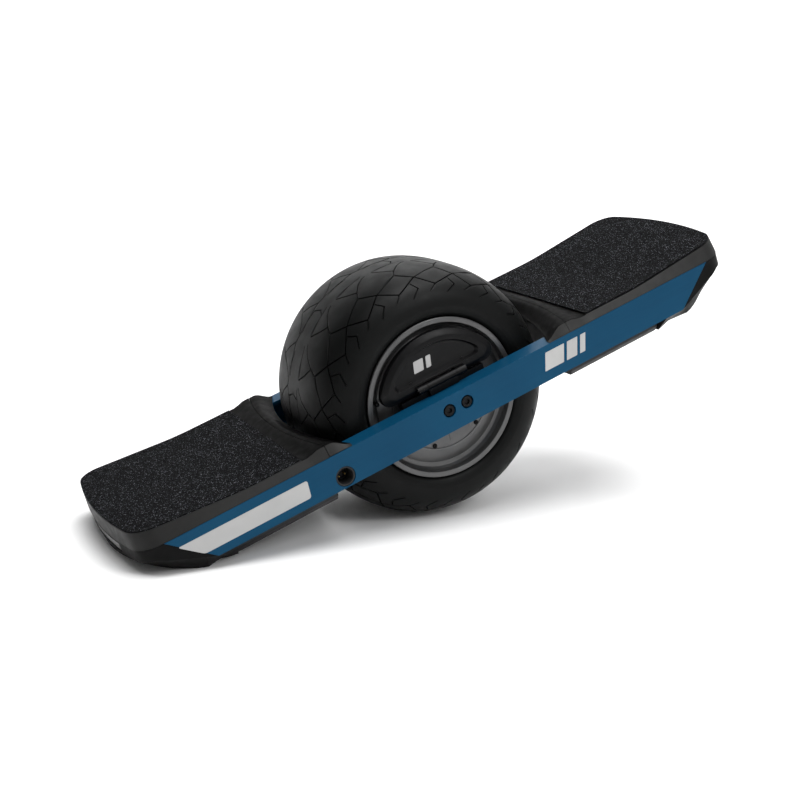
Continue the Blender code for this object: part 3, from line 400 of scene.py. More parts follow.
# ---- mesh helpers ---------------------------------------------------------------------------
def piece(name, bm, finish, body, replaced=None, smooth=40):
    """Turn a bmesh into a piece that rides on a CAD body and stands for the node it replaces."""
    bmesh.ops.transform(bm, matrix=WHEEL if body == "wheel" else BOARD, verts=bm.verts)
    bmesh.ops.recalc_face_normals(bm, faces=bm.faces)
    mesh = bpy.data.meshes.new(name)
    bm.to_mesh(mesh)
    bm.free()
    mesh.shade_smooth()
    mesh.set_sharp_from_angle(angle=radians(smooth))
    mesh.materials.append(look[finish])
    made = bpy.data.objects.new(name, mesh)
    bpy.context.scene.collection.objects.link(made)
    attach(made, body)
    if replaced:
        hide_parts(replaced)
    return made


def loft(bm, rings, close=False):
    """Skin equal rings of points; cap both ends, or join the last ring to the first."""
    rows = [[bm.verts.new(point) for point in ring] for ring in rings]
    for low, high in zip(rows, rows[1:] + rows[:1] if close else rows[1:]):
        for i in range(len(low)):
            j = (i + 1) % len(low)
            bm.faces.new((low[i], low[j], high[j], high[i]))
    if not close:
        bm.faces.new(rows[0])
        bm.faces.new(rows[-1])


def prism(outline, axis, low, high):
    """Extrude an outline of (u, v) points along the named axis."""
    place = {
        "X": lambda u, v, w: (w, u, v),
        "Y": lambda u, v, w: (u, w, v),
        "Z": lambda u, v, w: (u, v, w),
    }[axis]
    bm = bmesh.new()
    loft(bm, [[place(u, v, w) for u, v in outline] for w in (low, high)])
    return bm


def box(x, y, z):
    return prism([(x[0], z[0]), (x[1], z[0]), (x[1], z[1]), (x[0], z[1])], "Y", *y)


def circle(radius, steps, u=0.0, v=0.0):
    angles = [2 * pi * i / steps for i in range(steps)]
    return [(u + radius * cos(a), v + radius * sin(a)) for a in angles]


def revolve(section, steps, centre=(0.0, 0.0)):
    """Turn a closed section of (radius, y) points about an axis along Y through (x, z)."""
    bm = bmesh.new()
    x, z = centre
    loft(bm, [[(x + r * cos(2 * pi * i / steps), y, z + r * sin(2 * pi * i / steps))
               for r, y in section] for i in range(steps)], close=True)
    return bm


def turned(section, steps, centre=(0.0, 0.0)):
    """Turn an open section about such an axis; its two ends are closed with caps."""
    bm = bmesh.new()
    x, z = centre
    loft(bm, [[(x + r * cos(2 * pi * i / steps), y, z + r * sin(2 * pi * i / steps))
               for i in range(steps)] for r, y in section])
    return bm


def knurled(section, steps, wide, depth, period, centre):
    """Turned piece with ribs of the given depth around the stretch of radius wide."""
    bm = bmesh.new()
    x, z = centre
    rings = []
    for radius, y in section:
        ring = []
        for i in range(steps):
            r = radius - (depth if radius == wide and i % period >= period / 2 else 0.0)
            a = 2 * pi * i / steps
            ring.append((x + r * cos(a), y, z + r * sin(a)))
        rings.append(ring)
    loft(bm, rings)
    return bm


def merged(parts):
    """Several bmeshes as one."""
    whole = bmesh.new()
    for part in parts:
        mesh = bpy.data.meshes.new("part")
        part.to_mesh(mesh)
        part.free()
        whole.from_mesh(mesh)
        bpy.data.meshes.remove(mesh)
    return whole


def shape(bm, *changes):
    """Apply booleans to a bmesh, each (operation, other bmesh), and give the result."""
    def stand_in(source):
        bmesh.ops.recalc_face_normals(source, faces=source.faces)
        mesh = bpy.data.meshes.new("shape")
        source.to_mesh(mesh)
        source.free()
        made = bpy.data.objects.new("shape", mesh)
        bpy.context.scene.collection.objects.link(made)
        return made

    target = stand_in(bm)
    others = []
    for operation, other in changes:
        tool = stand_in(other)
        others.append(tool)
        change = target.modifiers.new("change", "BOOLEAN")
        change.operation, change.solver, change.object = operation, "EXACT", tool
    bpy.context.view_layer.update()
    graph = bpy.context.evaluated_depsgraph_get()
    result = bmesh.new()
    result.from_mesh(target.evaluated_get(graph).to_mesh())
    for used in [target] + others:
        mesh = used.data
        bpy.data.objects.remove(used)
        bpy.data.meshes.remove(mesh)
    bmesh.ops.remove_doubles(result, verts=result.verts, dist=1e-6)
    bmesh.ops.dissolve_limit(result, angle_limit=radians(0.5), verts=result.verts,
                             edges=result.edges)
    return result


def rounded(made, width, segments=3, angle=32):
    """Round a piece's edges with a bevel that stays as a modifier."""
    bevel = made.modifiers.new("rounded", "BEVEL")
    bevel.width = width
    bevel.segments = segments
    bevel.limit_method = "ANGLE"
    bevel.angle_limit = radians(angle)
    bevel.harden_normals = True
    return made


def refined(node, finish, width, segments=3):
    """A CAD node's own shape, welded, with its edges rounded."""
    source = frame["nodes"][node]
    bm = bmesh.new()
    bm.from_mesh(source.data)
    bmesh.ops.transform(bm, matrix=TO_BOARD, verts=bm.verts)
    bmesh.ops.remove_doubles(bm, verts=bm.verts, dist=2e-5)
    bmesh.ops.dissolve_limit(bm, angle_limit=radians(1.0), verts=bm.verts, edges=bm.edges)
    made = piece(node + "_finished", bm, finish, source["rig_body"], node)
    return rounded(made, width, segments)


# ---- rails ----------------------------------------------------------------------------------
def rail_reach(z):
    share = (z - RAIL_BOTTOM) / (RAIL_TOP - RAIL_BOTTOM)
    return RAIL_BOTTOM_REACH + (RAIL_TOP_REACH - RAIL_BOTTOM_REACH) * share


def rail(side, hand):
    """C-shaped rail with slanted ends, counterbored axle bolts and the round side port."""
    low, high = RAIL_BOTTOM, RAIL_TOP
    section = [(0, low), (RAIL_DEPTH, low), (RAIL_DEPTH, low + RAIL_FLANGE),
               (RAIL_WEB, low + RAIL_FLANGE), (RAIL_WEB, high - RAIL_FLANGE),
               (RAIL_DEPTH, high - RAIL_FLANGE), (RAIL_DEPTH, high), (0, high)]
    bm = bmesh.new()
    loft(bm, [[(end * rail_reach(z), side * (HALF_WIDTH - d), z) for d, z in section]
              for end in (-1, 1)])
    outside = side * (HALF_WIDTH + 0.002)
    inside = side * (HALF_WIDTH - RAIL_DEPTH - 0.002)
    shelf = side * (HALF_WIDTH - BOLT_BORE_DEPTH)
    cuts = [prism(circle(PORT_RADIUS, 72, PORT.x, PORT.z), "Y", *sorted((outside, inside)))]
    for x in (-AXLE_BOLT_X, AXLE_BOLT_X):
        cuts.append(prism(circle(BOLT_BORE, 56, x, AXLE_BOLT_Z), "Y", *sorted((outside, shelf))))
    bm = shape(bm, ("DIFFERENCE", merged(cuts)))
    made = piece("rail_%s_anodised" % hand, bm, "anodised_rail", "board", "rail_" + hand)
    return rounded(made, 0.0010, 3)


def axle_bolt(side, hand, index, x):
    """Socket-headed bolt in its counterbore, with a knurled rim and a hexagon socket."""
    seat = HALF_WIDTH - BOLT_BORE_DEPTH + GAP
    top, head = seat + 0.0036, 0.0064
    rows = [(r, side * y) for r, y in ((0.0030, seat), (head, seat), (head, top - 0.0008),
                                       (head - 0.0007, top))]
    bm = knurled(rows, 72, head, 0.00018, 2, (x, AXLE_BOLT_Z))
    socket = prism(circle(0.0034, 6, x, AXLE_BOLT_Z), "Y",
                   *sorted((side * (top - 0.0024), side * (top + 0.002))))
    bm = shape(bm, ("DIFFERENCE", socket))
    node = "axle_bolt_%s_%d" % (hand, index)
    made = piece(node + "_head", bm, "black_steel", "board", node)
    return rounded(made, 0.0002, 2, 50)


# ---- deck -----------------------------------------------------------------------------------
def arch_edge(y):
    """|x| of the wheel opening's edge."""
    return ARCH_CENTRE - ARCH_SWEEP * (y / HALF_WIDTH) ** 2


def ramp_width(y):
    return GRIP_START - ARCH_CENTRE + 0.020 * (y / HALF_WIDTH) ** 2


def seam(y):
    return arch_edge(y) + SEAM_SHARE * ramp_width(y)


def ease(t):
    t = min(max(t, 0.0), 1.0)
    return t * t * (3 - 2 * t)


def ramp_height(x, y):
    """Height of the raised lip around the wheel over the flat deck, lower at its edge."""
    crest = 0.0035
    edge_drop = 0.0045 + 0.0032 * (y / HALF_WIDTH) ** 2
    t = (x - arch_edge(y)) / ramp_width(y)
    if t > 0.70:
        return crest * ease((1 - t) / 0.30)
    return crest - (crest + edge_drop) * (1 - ease(t / 0.45)) if t < 0.45 else crest


def kick(x):
    """Height that the deck gains towards the board's end."""
    blend = 0.020
    past = x - KICK_START
    if past < -blend:
        return 0.0
    if past < blend:
        return KICK_SLOPE * (past + blend) ** 2 / (4 * blend)
    return KICK_SLOPE * past


def deck_height(x, y):
    return PAD_TOP + kick(x) + ramp_height(x, y)


def bow(y):
    """How far the board's curved end lies behind its middle."""
    return END_BOW * (y / HALF_WIDTH) ** 2


def end_curve(end, half_width, corner, steps, across=24):
    """Half of the end's plan outline, from its side round the corner to the centre line."""
    points = []
    for i in range(steps + 1):
        a = pi / 2 * i / steps
        y = half_width - corner + corner * cos(a)
        points.append((end - corner + corner * sin(a) - bow(y), y))
    flat = half_width - corner
    return points + [(end - bow(flat * i / across), flat * i / across)
                     for i in range(across - 1, 0, -1)]


def rounded_end(start, end, half_width, corner, steps=16, wheel_edge=None, columns=56):
    """Plan outline of one end of the deck: straight sides, round corners, shaped inner edge."""
    side = end_curve(end, half_width, corner, steps)
    outline = side + [(end, 0.0)] + [(x, -y) for x, y in reversed(side)]
    for i in range(columns + 1):
        y = half_width * (2 * i / columns - 1)
        outline.append((wheel_edge(y) if wheel_edge else start, y))
    return outline


def spaced(low, high, step):
    count = max(1, round((high - low) / step))
    return [low + (high - low) * i / count for i in range(1, count)]


def cells(outline, cuts_x, cuts_y):
    """A flat sheet with the given outline, divided along straight lines."""
    bm = bmesh.new()
    bm.faces.new([bm.verts.new((x, y, 0.0)) for x, y in outline])
    for normal, places in (((1, 0, 0), cuts_x), ((0, 1, 0), cuts_y)):
        for place in places:
            everything = bm.verts[:] + bm.edges[:] + bm.faces[:]
            bmesh.ops.bisect_plane(bm, geom=everything, dist=1e-5, plane_no=normal,
                                   plane_co=[place * n for n in normal])
    return bm


def slab(sheet, height, floor_z, spread=None):
    """Give a flat sheet its upper surface and a flat underside, spread outwards at the edge."""
    rim = [edge for edge in sheet.edges if edge.is_boundary]
    top = list(sheet.verts)
    grown = bmesh.ops.extrude_edge_only(sheet, edges=rim)["geom"]
    low = [item for item in grown if isinstance(item, bmesh.types.BMVert)]
    edge_verts = set(low)
    low_edges = [e for e in sheet.edges if edge_verts.issuperset(e.verts)]
    for vert in low:
        x, y = spread(vert.co.x, vert.co.y) if spread else (vert.co.x, vert.co.y)
        vert.co = (x, y, floor_z)
    for vert in top:
        vert.co.z = height(vert.co.x, vert.co.y)
    bmesh.ops.edgeloop_fill(sheet, edges=low_edges)
    return sheet


def skirt_spread(x, y):
    """Where the deck's upper edge comes down to at the rail."""
    out = y * (HALF_WIDTH - GAP) / (HALF_WIDTH - GAP - SKIRT_WIDTH)
    start, top_end = 0.300, END_REACH - END_SKIRT
    return x + END_SKIRT * min(max((x - start) / (top_end - start), 0.0), 1.0), out


def mirrored(bm, front):
    """Ends are drawn for the front; the rear end is their mirror image."""
    if not front:
        for vert in bm.verts:
            vert.co.x = -vert.co.x
        bmesh.ops.reverse_faces(bm, faces=bm.faces)
    return bm


def pad_recess(front):
    """How far the moulded deck lies below the walking surface."""
    return 0.0022 if front else GRIP_THICKNESS + GAP


def footpad(end, front):
    lower = pad_recess(front)
    half = HALF_WIDTH - GAP - SKIRT_WIDTH
    plan = rounded_end(0, END_REACH - END_SKIRT, half, CORNER_RADIUS,
                       wheel_edge=lambda y: seam(y) + GAP)
    sheet = cells(plan, spaced(0.150, 0.345, 0.006), spaced(-half, half, 0.012))
    bm = slab(sheet, lambda x, y: deck_height(x, y) - lower, SKIRT_BOTTOM, skirt_spread)
    made = piece(end + "_footpad_shell", mirrored(bm, front), "footpad", "board",
                 end + "_footpad")
    return rounded(made, 0.0012, 3, 25)


def fender_lip(end, front):
    """Raised moulding between a footpad and the wheel opening."""
    half = HALF_WIDTH - GAP - SKIRT_WIDTH
    columns = 60
    places = [half * (2 * i / columns - 1) for i in range(columns + 1)]
    bm = bmesh.new()
    rows = []
    steps = 12
    for k in range(steps + 1):
        share = SEAM_SHARE * k / steps
        rows.append([bm.verts.new((arch_edge(y) + share * ramp_width(y), y, 0)) for y in places])
    for low, high in zip(rows, rows[1:]):
        for i in range(columns):
            bm.faces.new((low[i], low[i + 1], high[i + 1], high[i]))
    lower = pad_recess(front)
    slab(bm, lambda x, y: deck_height(x, y) - lower, SKIRT_BOTTOM, skirt_spread)
    made = piece(end + "_fender_moulding", mirrored(bm, front), "footpad", "board",
                 end + "_fender_lip")
    return rounded(made, 0.0009, 3, 25)


def grip(end, front):
    """Grip sheet whose upper side is raised into grit, a grain at a time."""
    inset = 0.0006
    half = HALF_WIDTH - GAP - SKIRT_WIDTH - inset
    pitch = 0.0013
    plan = rounded_end(GRIP_START, END_REACH - END_SKIRT - inset, half, CORNER_RADIUS - inset,
                       24, None, 90)
    bm = cells(plan, spaced(GRIP_START, END_REACH - END_SKIRT - inset, pitch),
               spaced(-half, half, pitch))
    rim = {v for edge in bm.edges if edge.is_boundary for v in edge.verts}
    top = list(bm.verts)
    low_faces = bmesh.ops.duplicate(bm, geom=bm.faces[:])
    for vert in top:
        x, y = vert.co.x, vert.co.y
        grit = 0.0 if vert in rim else noise.noise((x * 620, y * 620, 3.0 + front))
        vert.co.z = deck_height(x, y) - 0.00030 + 0.00028 * grit
    under = [item for item in low_faces["geom"] if isinstance(item, bmesh.types.BMVert)]
    for vert in under:
        vert.co.z = deck_height(vert.co.x, vert.co.y) - GRIP_THICKNESS
    bmesh.ops.reverse_faces(bm, faces=[f for f in low_faces["geom"]
                                       if isinstance(f, bmesh.types.BMFace)])
    edges = [edge for edge in bm.edges if edge.is_boundary]
    bmesh.ops.bridge_loops(bm, edges=edges)
    return piece(end + "_grip_tape", mirrored(bm, front), "grip", "board", end + "_grip",
                 smooth=60)


# ---- bumpers, lights and housings -----------------------------------------------------------
BOX_OUTER = max(abs(lid_low.x), abs(lid_high.x))
BUMPER_FLAT = -0.0445
SKID_X, SKID_Z = 0.3360, -0.0265
SKID_WIDENS, SKID_ARC_START, SKID_END = 0.2930, 0.3110, 0.3800
SKID_START_HALF, SKID_HALF = 0.0900, 0.1090
CHEEK_END, CHEEK_SLOPE = 0.0008, 0.436
LIGHT_HALF = 0.0600
LIGHT_LOW, LIGHT_HIGH = 0.0015, 0.0115
LIGHT_BACK, LENS_BACK, LIGHT_FACE = 0.3700, 0.3726, 0.3804


def skid(x):
    """Plane of the skid face, which lies flat on the floor when the board rests on that end."""
    return SKID_Z + (x - SKID_X) * tan(LEAN)


def cheek(x):
    """Lower edge of the bumper's upright side and end."""
    return min(RAIL_BOTTOM + max(x - RAIL_BOTTOM_REACH, 0.0) * CHEEK_SLOPE, CHEEK_END)


def skid_edge(x, y):
    """Point of the skid face's outline that lies inside a point of the bumper's own outline."""
    if x <= SKID_ARC_START:
        widening = max(x - SKID_WIDENS, 0.0) / (SKID_ARC_START - SKID_WIDENS)
        return x, SKID_START_HALF + (SKID_HALF - SKID_START_HALF) * widening
    out = x - SKID_ARC_START
    share = hypot(out / (SKID_END - SKID_ARC_START), y / SKID_HALF)
    return SKID_ARC_START + out / share, y / share


def bowed_bar(reach, half, height, sign, columns=40):
    """Bar across the board's end that follows its bow."""
    bm = bmesh.new()
    rings = []
    for i in range(columns + 1):
        y = half * (2 * i / columns - 1)
        near, far = (sign * (x - bow(y)) for x in reach)
        rings.append([(near, y, height[0]), (far, y, height[0]), (far, y, height[1]),
                      (near, y, height[1])])
    loft(bm, rings)
    return bm


def bumper(end, front):
    """Cup under the deck's end: upright cheeks, a sloping band and the skid face."""
    start = BOX_OUTER + GAP
    half = HALF_WIDTH - GAP
    upper = end_curve(END_REACH, half, CORNER_RADIUS, 16)
    upper = [(start, half)] + [(start + (upper[0][0] - start) * i / 16, half)
                               for i in range(1, 16)] + upper
    lower = [skid_edge(x, y) for x, y in upper]
    top = RAIL_TOP - GAP
    rings = []
    for outline, tip, level in ((lower, SKID_END, skid), (upper, END_REACH, cheek),
                                (upper, END_REACH, lambda x: top)):
        ring = outline + [(tip, 0.0)] + [(x, -y) for x, y in reversed(outline)]
        rings.append([(x, y, level(x)) for x, y in ring])
    bm = bmesh.new()
    loft(bm, rings)
    mirrored(bm, front)
    sign = 1 if front else -1
    flat = box(sorted((sign * (BOX_OUTER - 0.010), sign * (END_REACH + 0.002))),
               (-0.130, 0.130), (BUMPER_FLAT - 0.020, BUMPER_FLAT))
    spaces = bmesh.new()
    low, high = RAIL_BOTTOM - GAP, RAIL_TOP + 0.002
    for side in (-1, 1):
        near, far = side * (HALF_WIDTH - RAIL_DEPTH - GAP), side * (HALF_WIDTH + 0.002)
        corners = ((near, low), (far, low), (far, high), (near, high))
        loft(spaces, [[(reach * (rail_reach(z) + 2 * GAP), y, z) for y, z in corners]
                      for reach in (-1, 1)])
    window = bowed_bar((LIGHT_BACK, END_REACH + 0.002), LIGHT_HALF + GAP,
                       (LIGHT_LOW - GAP, LIGHT_HIGH + GAP), sign)
    bm = shape(bm, ("DIFFERENCE", flat), ("DIFFERENCE", spaces), ("DIFFERENCE", window))
    made = piece(end + "_bumper_moulding", bm, "bumper_plastic", "board", end + "_bumper",
                 smooth=22)
    return rounded(made, 0.0014, 3, 18)


def light_lens(end, front):
    """Smoked lens with a bevelled rim and shallow ribs on its face, bowed like the end."""
    sign = 1 if front else -1
    ribs = 120
    bm = bmesh.new()
    rings = []
    for i in range(ribs + 1):
        y = LIGHT_HALF * (2 * i / ribs - 1)
        dip = 0.0008 if i in (0, ribs) else 0.0004 * (i % 2)
        profile = ((LENS_BACK, LIGHT_LOW), (LIGHT_FACE - dip - 0.0008, LIGHT_LOW),
                   (LIGHT_FACE - dip, LIGHT_LOW + 0.001), (LIGHT_FACE - dip, LIGHT_HIGH - 0.001),
                   (LIGHT_FACE - dip - 0.0008, LIGHT_HIGH), (LENS_BACK, LIGHT_HIGH))
        rings.append([(sign * (x - bow(y)), y, z) for x, z in profile])
    loft(bm, rings)
    return piece(end + "_lens_ribbed", bm, "lens", "board", end + "_light_lens")


def housing(node):
    """Housing tray with rounded edges and a row of stiffening ribs under its floor."""
    low, high = board_box(node)
    refined(node, "housing", 0.0016)
    ribs = []
    for i in range(7):
        x = low.x + (high.x - low.x) * (i + 1) / 8
        ribs.append(box((x - 0.0010, x + 0.0010), (-0.070, 0.070), (low.z - 0.0008, low.z + 0.001)))
    ribbed = piece(node + "_ribs", merged(ribs), "housing", "board")
    rounded(ribbed, 0.0003, 2)


# ---- side ports -----------------------------------------------------------------------------
def charging_socket():
    """Round socket with a bevelled mouth, a keyed insert and three pins on its floor."""
    mouth = -(HALF_WIDTH - 0.0008)
    back = -(HALF_WIDTH - RAIL_DEPTH)
    outer, bore = PORT_RADIUS - GAP, 0.0088
    floor_y = board_box("charge_pin_1")[1].y
    section = [(outer, back), (outer, mouth + 0.0004), (outer - 0.0004, mouth),
               (bore + 0.0010, mouth), (bore + 0.0003, mouth + 0.0003), (bore, mouth + 0.0011),
               (bore, floor_y + GAP)]
    shell = turned(section, 72, (PORT.x, PORT.z))
    piece("charge_port_barrel", shell, "housing", "board", "charge_port", smooth=30)
    ridge = [(0.0078, floor_y - 0.0006), (0.0078, floor_y - 0.0030), (0.0070, floor_y - 0.0034),
             (0.0064, floor_y - 0.0030), (0.0064, floor_y - 0.0006)]
    piece("charge_port_collar", revolve(ridge, 48, (PORT.x, PORT.z)), "black_steel", "board")
    for i in range(3):
        a = radians(90 + 120 * i)
        low, high = board_box("charge_pin_%d" % (i + 1))
        centre = (PORT.x + 0.0042 * cos(a), PORT.z + 0.0042 * sin(a))
        pin = turned([(0.0011, high.y), (0.0011, low.y + 0.0008), (0.0008, low.y + 0.0003),
                      (0.0003, low.y)], 20, centre)
        piece("charge_pin_%d_plated" % (i + 1), pin, "brass", "board", "charge_pin_%d" % (i + 1))


def power_button():
    """Dished button inside its bezel."""
    face = HALF_WIDTH - 0.0006
    outer, bore = PORT_RADIUS - GAP, 0.0074
    back = board_box("power_button_bezel")[0].y
    section = [(bore, back), (outer, back), (outer, face - 0.0005), (outer - 0.0005, face),
               (bore + 0.0010, face), (bore, face - 0.0010)]
    piece("power_button_ring", revolve(section, 72, (PORT.x, PORT.z)), "black_steel", "board",
          "power_button_bezel", smooth=30)
    low, high = button_low.y, button_high.y
    cap = [(0.0070, low), (0.0070, high - 0.0008), (0.0063, high), (0.0050, high - 0.0002),
           (0.0030, high - 0.0006), (0.0010, high - 0.0008)]
    piece("power_button_cap", turned(cap, 64, (PORT.x, PORT.z)), "button", "button",
          "power_button", smooth=30)


# ---- wheel ----------------------------------------------------------------------------------
PITCHES = 18                    # tread pattern repeats around the tyre
PITCH = 2 * pi * TYRE_RADIUS / PITCHES
TREAD_PHASE = radians(133.0)
TREAD_EDGE = 0.0960             # along the section, from the crown's middle
SIPE_DEPTH = 0.0024
SIPE_FLOOR = 0.45               # share of a sipe's half width that is its floor

# One pitch of the tread on the right half: (width in mm, points as (share of a pitch, mm from
# the crown's middle)). The left half is this half turned half a turn about HALF_TURN.
SIPES = (
    (1.7, ((0.00, -80.7), (0.37, -66.4), (0.735, -49.3))),
    (1.4, ((0.00, -80.7), (-0.57, -65.6), (-1.265, -49.3))),
    (1.3, ((0.00, -80.7), (0.19, -88.2))),
    (1.6, ((0.72, -91.4), (0.48, -82.1), (0.60, -73.6))),
    (1.2, ((0.735, -49.3), (0.62, -38.6))),
    (1.6, ((0.62, -38.6), (0.80, -28.6), (0.965, -15.4))),
    (1.1, ((0.62, -38.6), (0.42, -25.5), (0.24, -17.6), (0.15, -16.0))),
    (0.9, ((0.21, -10.0), (0.55, -12.6), (0.965, -15.4))),
)
HALF_TURN = 1.165
CROWN_SIPE = (1.5, ((0.42, -9.6), (0.33, -2.0), (0.41, 10.7)))
CROWN_LINK = (1.1, ((0.41, 10.7), (0.80, 12.4), (1.20, 15.4)))


def tyre_profile():
    """Dense outer profile from bead to bead: distance along it from the crown's middle, radius
    and y, as arrays."""
    half = []
    for i in range(241):
        a = radians(84.0) * i / 240
        half.append((TYRE_RADIUS - TYRE_CROWN + TYRE_CROWN * cos(a) ** (2 / CROWN_POWER),
                     TYRE_HALF_WIDTH * sin(a) ** (2 / CROWN_POWER)))
    half += [(0.0992, 0.0877), (0.0962, 0.0869), (0.0936, 0.0855), (0.0916, 0.0836),
             (0.0906, 0.0820)]
    r, y = np.array(half).T
    s = np.concatenate([[0.0], np.cumsum(np.hypot(np.diff(r), np.diff(y)))])
    return (np.concatenate([-s[:0:-1], s]), np.concatenate([r[:0:-1], r]),
            np.concatenate([-y[:0:-1], y]))


def segment_distance(point, start, end):
    px, py, dx, dy = point[0] - start[0], point[1] - start[1], end[0] - start[0], end[1] - start[1]
    t = min(max((px * dx + py * dy) / (dx * dx + dy * dy), 0.0), 1.0)
    return hypot(px - t * dx, py - t * dy)


def sipe_segments():
    """Straight stretches of every sipe near a two-pitch tile: (start, end, half width), in mm."""
    pitch = PITCH * 1000
    lines = []
    for shift in range(-3, 4):
        for width, points in SIPES:
            lines.append((width, [(u + shift, s) for u, s in points]))
            lines.append((width, [(HALF_TURN - u + shift, -s) for u, s in points]))
        lines.append((CROWN_LINK[0], [(u + shift, s) for u, s in CROWN_LINK[1]]))
        lines.append((CROWN_SIPE[0], [(u + 2 * shift, s) for u, s in CROWN_SIPE[1]]))
    found = []
    for width, points in lines:
        for (u0, s0), (u1, s1) in zip(points, points[1:]):
            if max(u0, u1) > -0.1 and min(u0, u1) < 2.1:
                found.append(((u0 * pitch, s0), (u1 * pitch, s1), width / 2))
    return found


def capsule(start, end, radius, corners=4):
    """Outline of a stretch with round ends."""
    turn = atan2(end[1] - start[1], end[0] - start[0])
    outline = []
    for (x, y), first in ((end, turn - pi / 2), (start, turn + pi / 2)):
        for i in range(corners + 1):
            a = first + pi * i / corners
            outline.append((x + radius * cos(a), y + radius * sin(a)))
    return outline


def tread_tile():
    """Two pitches of tread laid flat: points in mm with their depth, and triangles."""
    width, edge = 2 * PITCH * 1000, TREAD_EDGE * 1000
    columns, rows = 36, 66
    segments = sipe_segments()
    points, edges = [], []

    def add_loop(outline):
        first = len(points)
        points.extend(Vector(p) for p in outline)
        count = len(outline)
        edges.extend((first + i, first + (i + 1) % count) for i in range(count))

    for start, end, half in segments:
        add_loop(capsule(start, end, half))
        add_loop(capsule(start, end, half * SIPE_FLOOR, 2))
    add_loop([(0, -edge), (width, -edge), (width, edge), (0, edge)])
    for i in range(columns + 1):
        for j in range(rows + 1):
            point = (width * i / columns, edge * (2 * j / rows - 1))
            clear = min(segment_distance(point, a, b) - half for a, b, half in segments)
            border = i in (0, columns) or j in (0, rows)
            if clear > 0.8 or (border and clear > 0.25):
                points.append(Vector(point))
    placed, _, triangles, *_ = delaunay_2d_cdt(points, edges, [], 0, 1e-4)
    depth = []
    for p in placed:
        share = 0.0
        for start, end, half in segments:
            if min(start[0], end[0]) - 2 < p[0] < max(start[0], end[0]) + 2:
                d = segment_distance(p, start, end)
                share = max(share, min((half - d) / (half * (1 - SIPE_FLOOR)), 1.0))
        depth.append(share if share > 0.02 else 0.0)
    inside = []
    for tri in triangles:
        u = sum(placed[i][0] for i in tri) / 3
        s = sum(placed[i][1] for i in tri) / 3
        if 0 < u < width and abs(s) < edge:
            inside.append(tuple(tri))
    return [tuple(p) for p in placed], depth, inside


def tyre():
    """Tyre with its sipes cut into the tread; shaded by the true curve of its carcass."""
    s_line, r_line, y_line = tyre_profile()
    r_slope, y_slope = np.gradient(r_line, s_line), np.gradient(y_line, s_line)
    flat, depth, triangles = tread_tile()
    tiles = PITCHES // 2
    step = 2 * pi / tiles
    tile_width = 2 * PITCH * 1000
    bm = bmesh.new()
    smooth_layer = bm.faces.layers.int.new("tread_top")

    def put(s, angle, deep=0.0):
        r, y = np.interp(s, s_line, r_line), np.interp(s, s_line, y_line)
        nr, ny = np.interp(s, s_line, y_slope), -np.interp(s, s_line, r_slope)
        r, y = r - deep * nr, y - deep * ny
        return bm.verts.new((r * cos(angle), y, r * sin(angle)))

    for tile in range(tiles):
        verts = [put(s / 1000, TREAD_PHASE + step * (tile + u / tile_width), SIPE_DEPTH * share)
                 if -1 < u < tile_width + 1 and abs(s) <= TREAD_EDGE * 1000 + 0.01 else None
                 for (u, s), share in zip(flat, depth)]
        for tri in triangles:
            face = bm.faces.new([verts[i] for i in tri])
            face[smooth_layer] = int(all(depth[i] == 0.0 for i in tri))
    columns = 36 * tiles
    walls = []
    for side in (-1, 1):
        places = [TREAD_EDGE + (s_line[-1] - TREAD_EDGE) * k / 12 for k in range(13)]
        walls.append([[put(side * s, TREAD_PHASE + 2 * pi * i / columns) for i in range(columns)]
                      for s in places])
    inner = [(0.0870, 0.0772), (0.0784, 0.0690), (0.0766, 0.0612), (0.0850, 0.0640)]
    carcass = []
    for i in range(9):
        a = radians(78 - 156 * i / 8)
        deep = TYRE_CROWN - 0.0060
        y = (TYRE_HALF_WIDTH - 0.0065) * abs(sin(a)) ** (2 / CROWN_POWER) * (1 if a > 0 else -1)
        carcass.append((TYRE_RADIUS - 0.0065 - deep + deep * cos(a) ** (2 / CROWN_POWER), y))
    hidden = [[bm.verts.new((r * cos(TREAD_PHASE + 2 * pi * i / columns), y,
                             r * sin(TREAD_PHASE + 2 * pi * i / columns)))
               for i in range(columns)]
              for r, y in inner + carcass + [(r, -y) for r, y in reversed(inner)]]
    for strip, top in ((walls[0], 1), (walls[1], 1), ([walls[1][-1]] + hidden + [walls[0][-1]], 0)):
        for low, high in zip(strip, strip[1:]):
            for i in range(columns):
                j = (i + 1) % columns
                face = bm.faces.new((low[i], low[j], high[j], high[i]))
                face[smooth_layer] = top
    bmesh.ops.remove_doubles(bm, verts=[v for v in bm.verts if v.is_boundary], dist=2e-5)
    loose = [v for v in bm.verts if not v.link_faces]
    bmesh.ops.delete(bm, geom=loose, context="VERTS")
    made = piece("tyre_treaded", bm, "tyre", "wheel", "tyre", smooth=180)
    mesh = made.data
    tops = np.zeros(len(mesh.polygons), int)
    mesh.attributes["tread_top"].data.foreach_get("value", tops)
    normals = [None] * len(mesh.loops)
    for polygon in mesh.polygons:
        for loop in polygon.loop_indices:
            if tops[polygon.index]:
                place = mesh.vertices[mesh.loops[loop].vertex_index].co - AXLE
                angle = atan2(place.z, place.x)
                radius = hypot(place.x, place.z)
                nearest = np.argmin((r_line - radius) ** 2 + (y_line - place.y) ** 2)
                nr, ny = y_slope[nearest], -r_slope[nearest]
                normals[loop] = Vector((nr * cos(angle), ny, nr * sin(angle))).normalized()
            else:
                normals[loop] = polygon.normal.copy()
    mesh.normals_split_custom_set(normals)


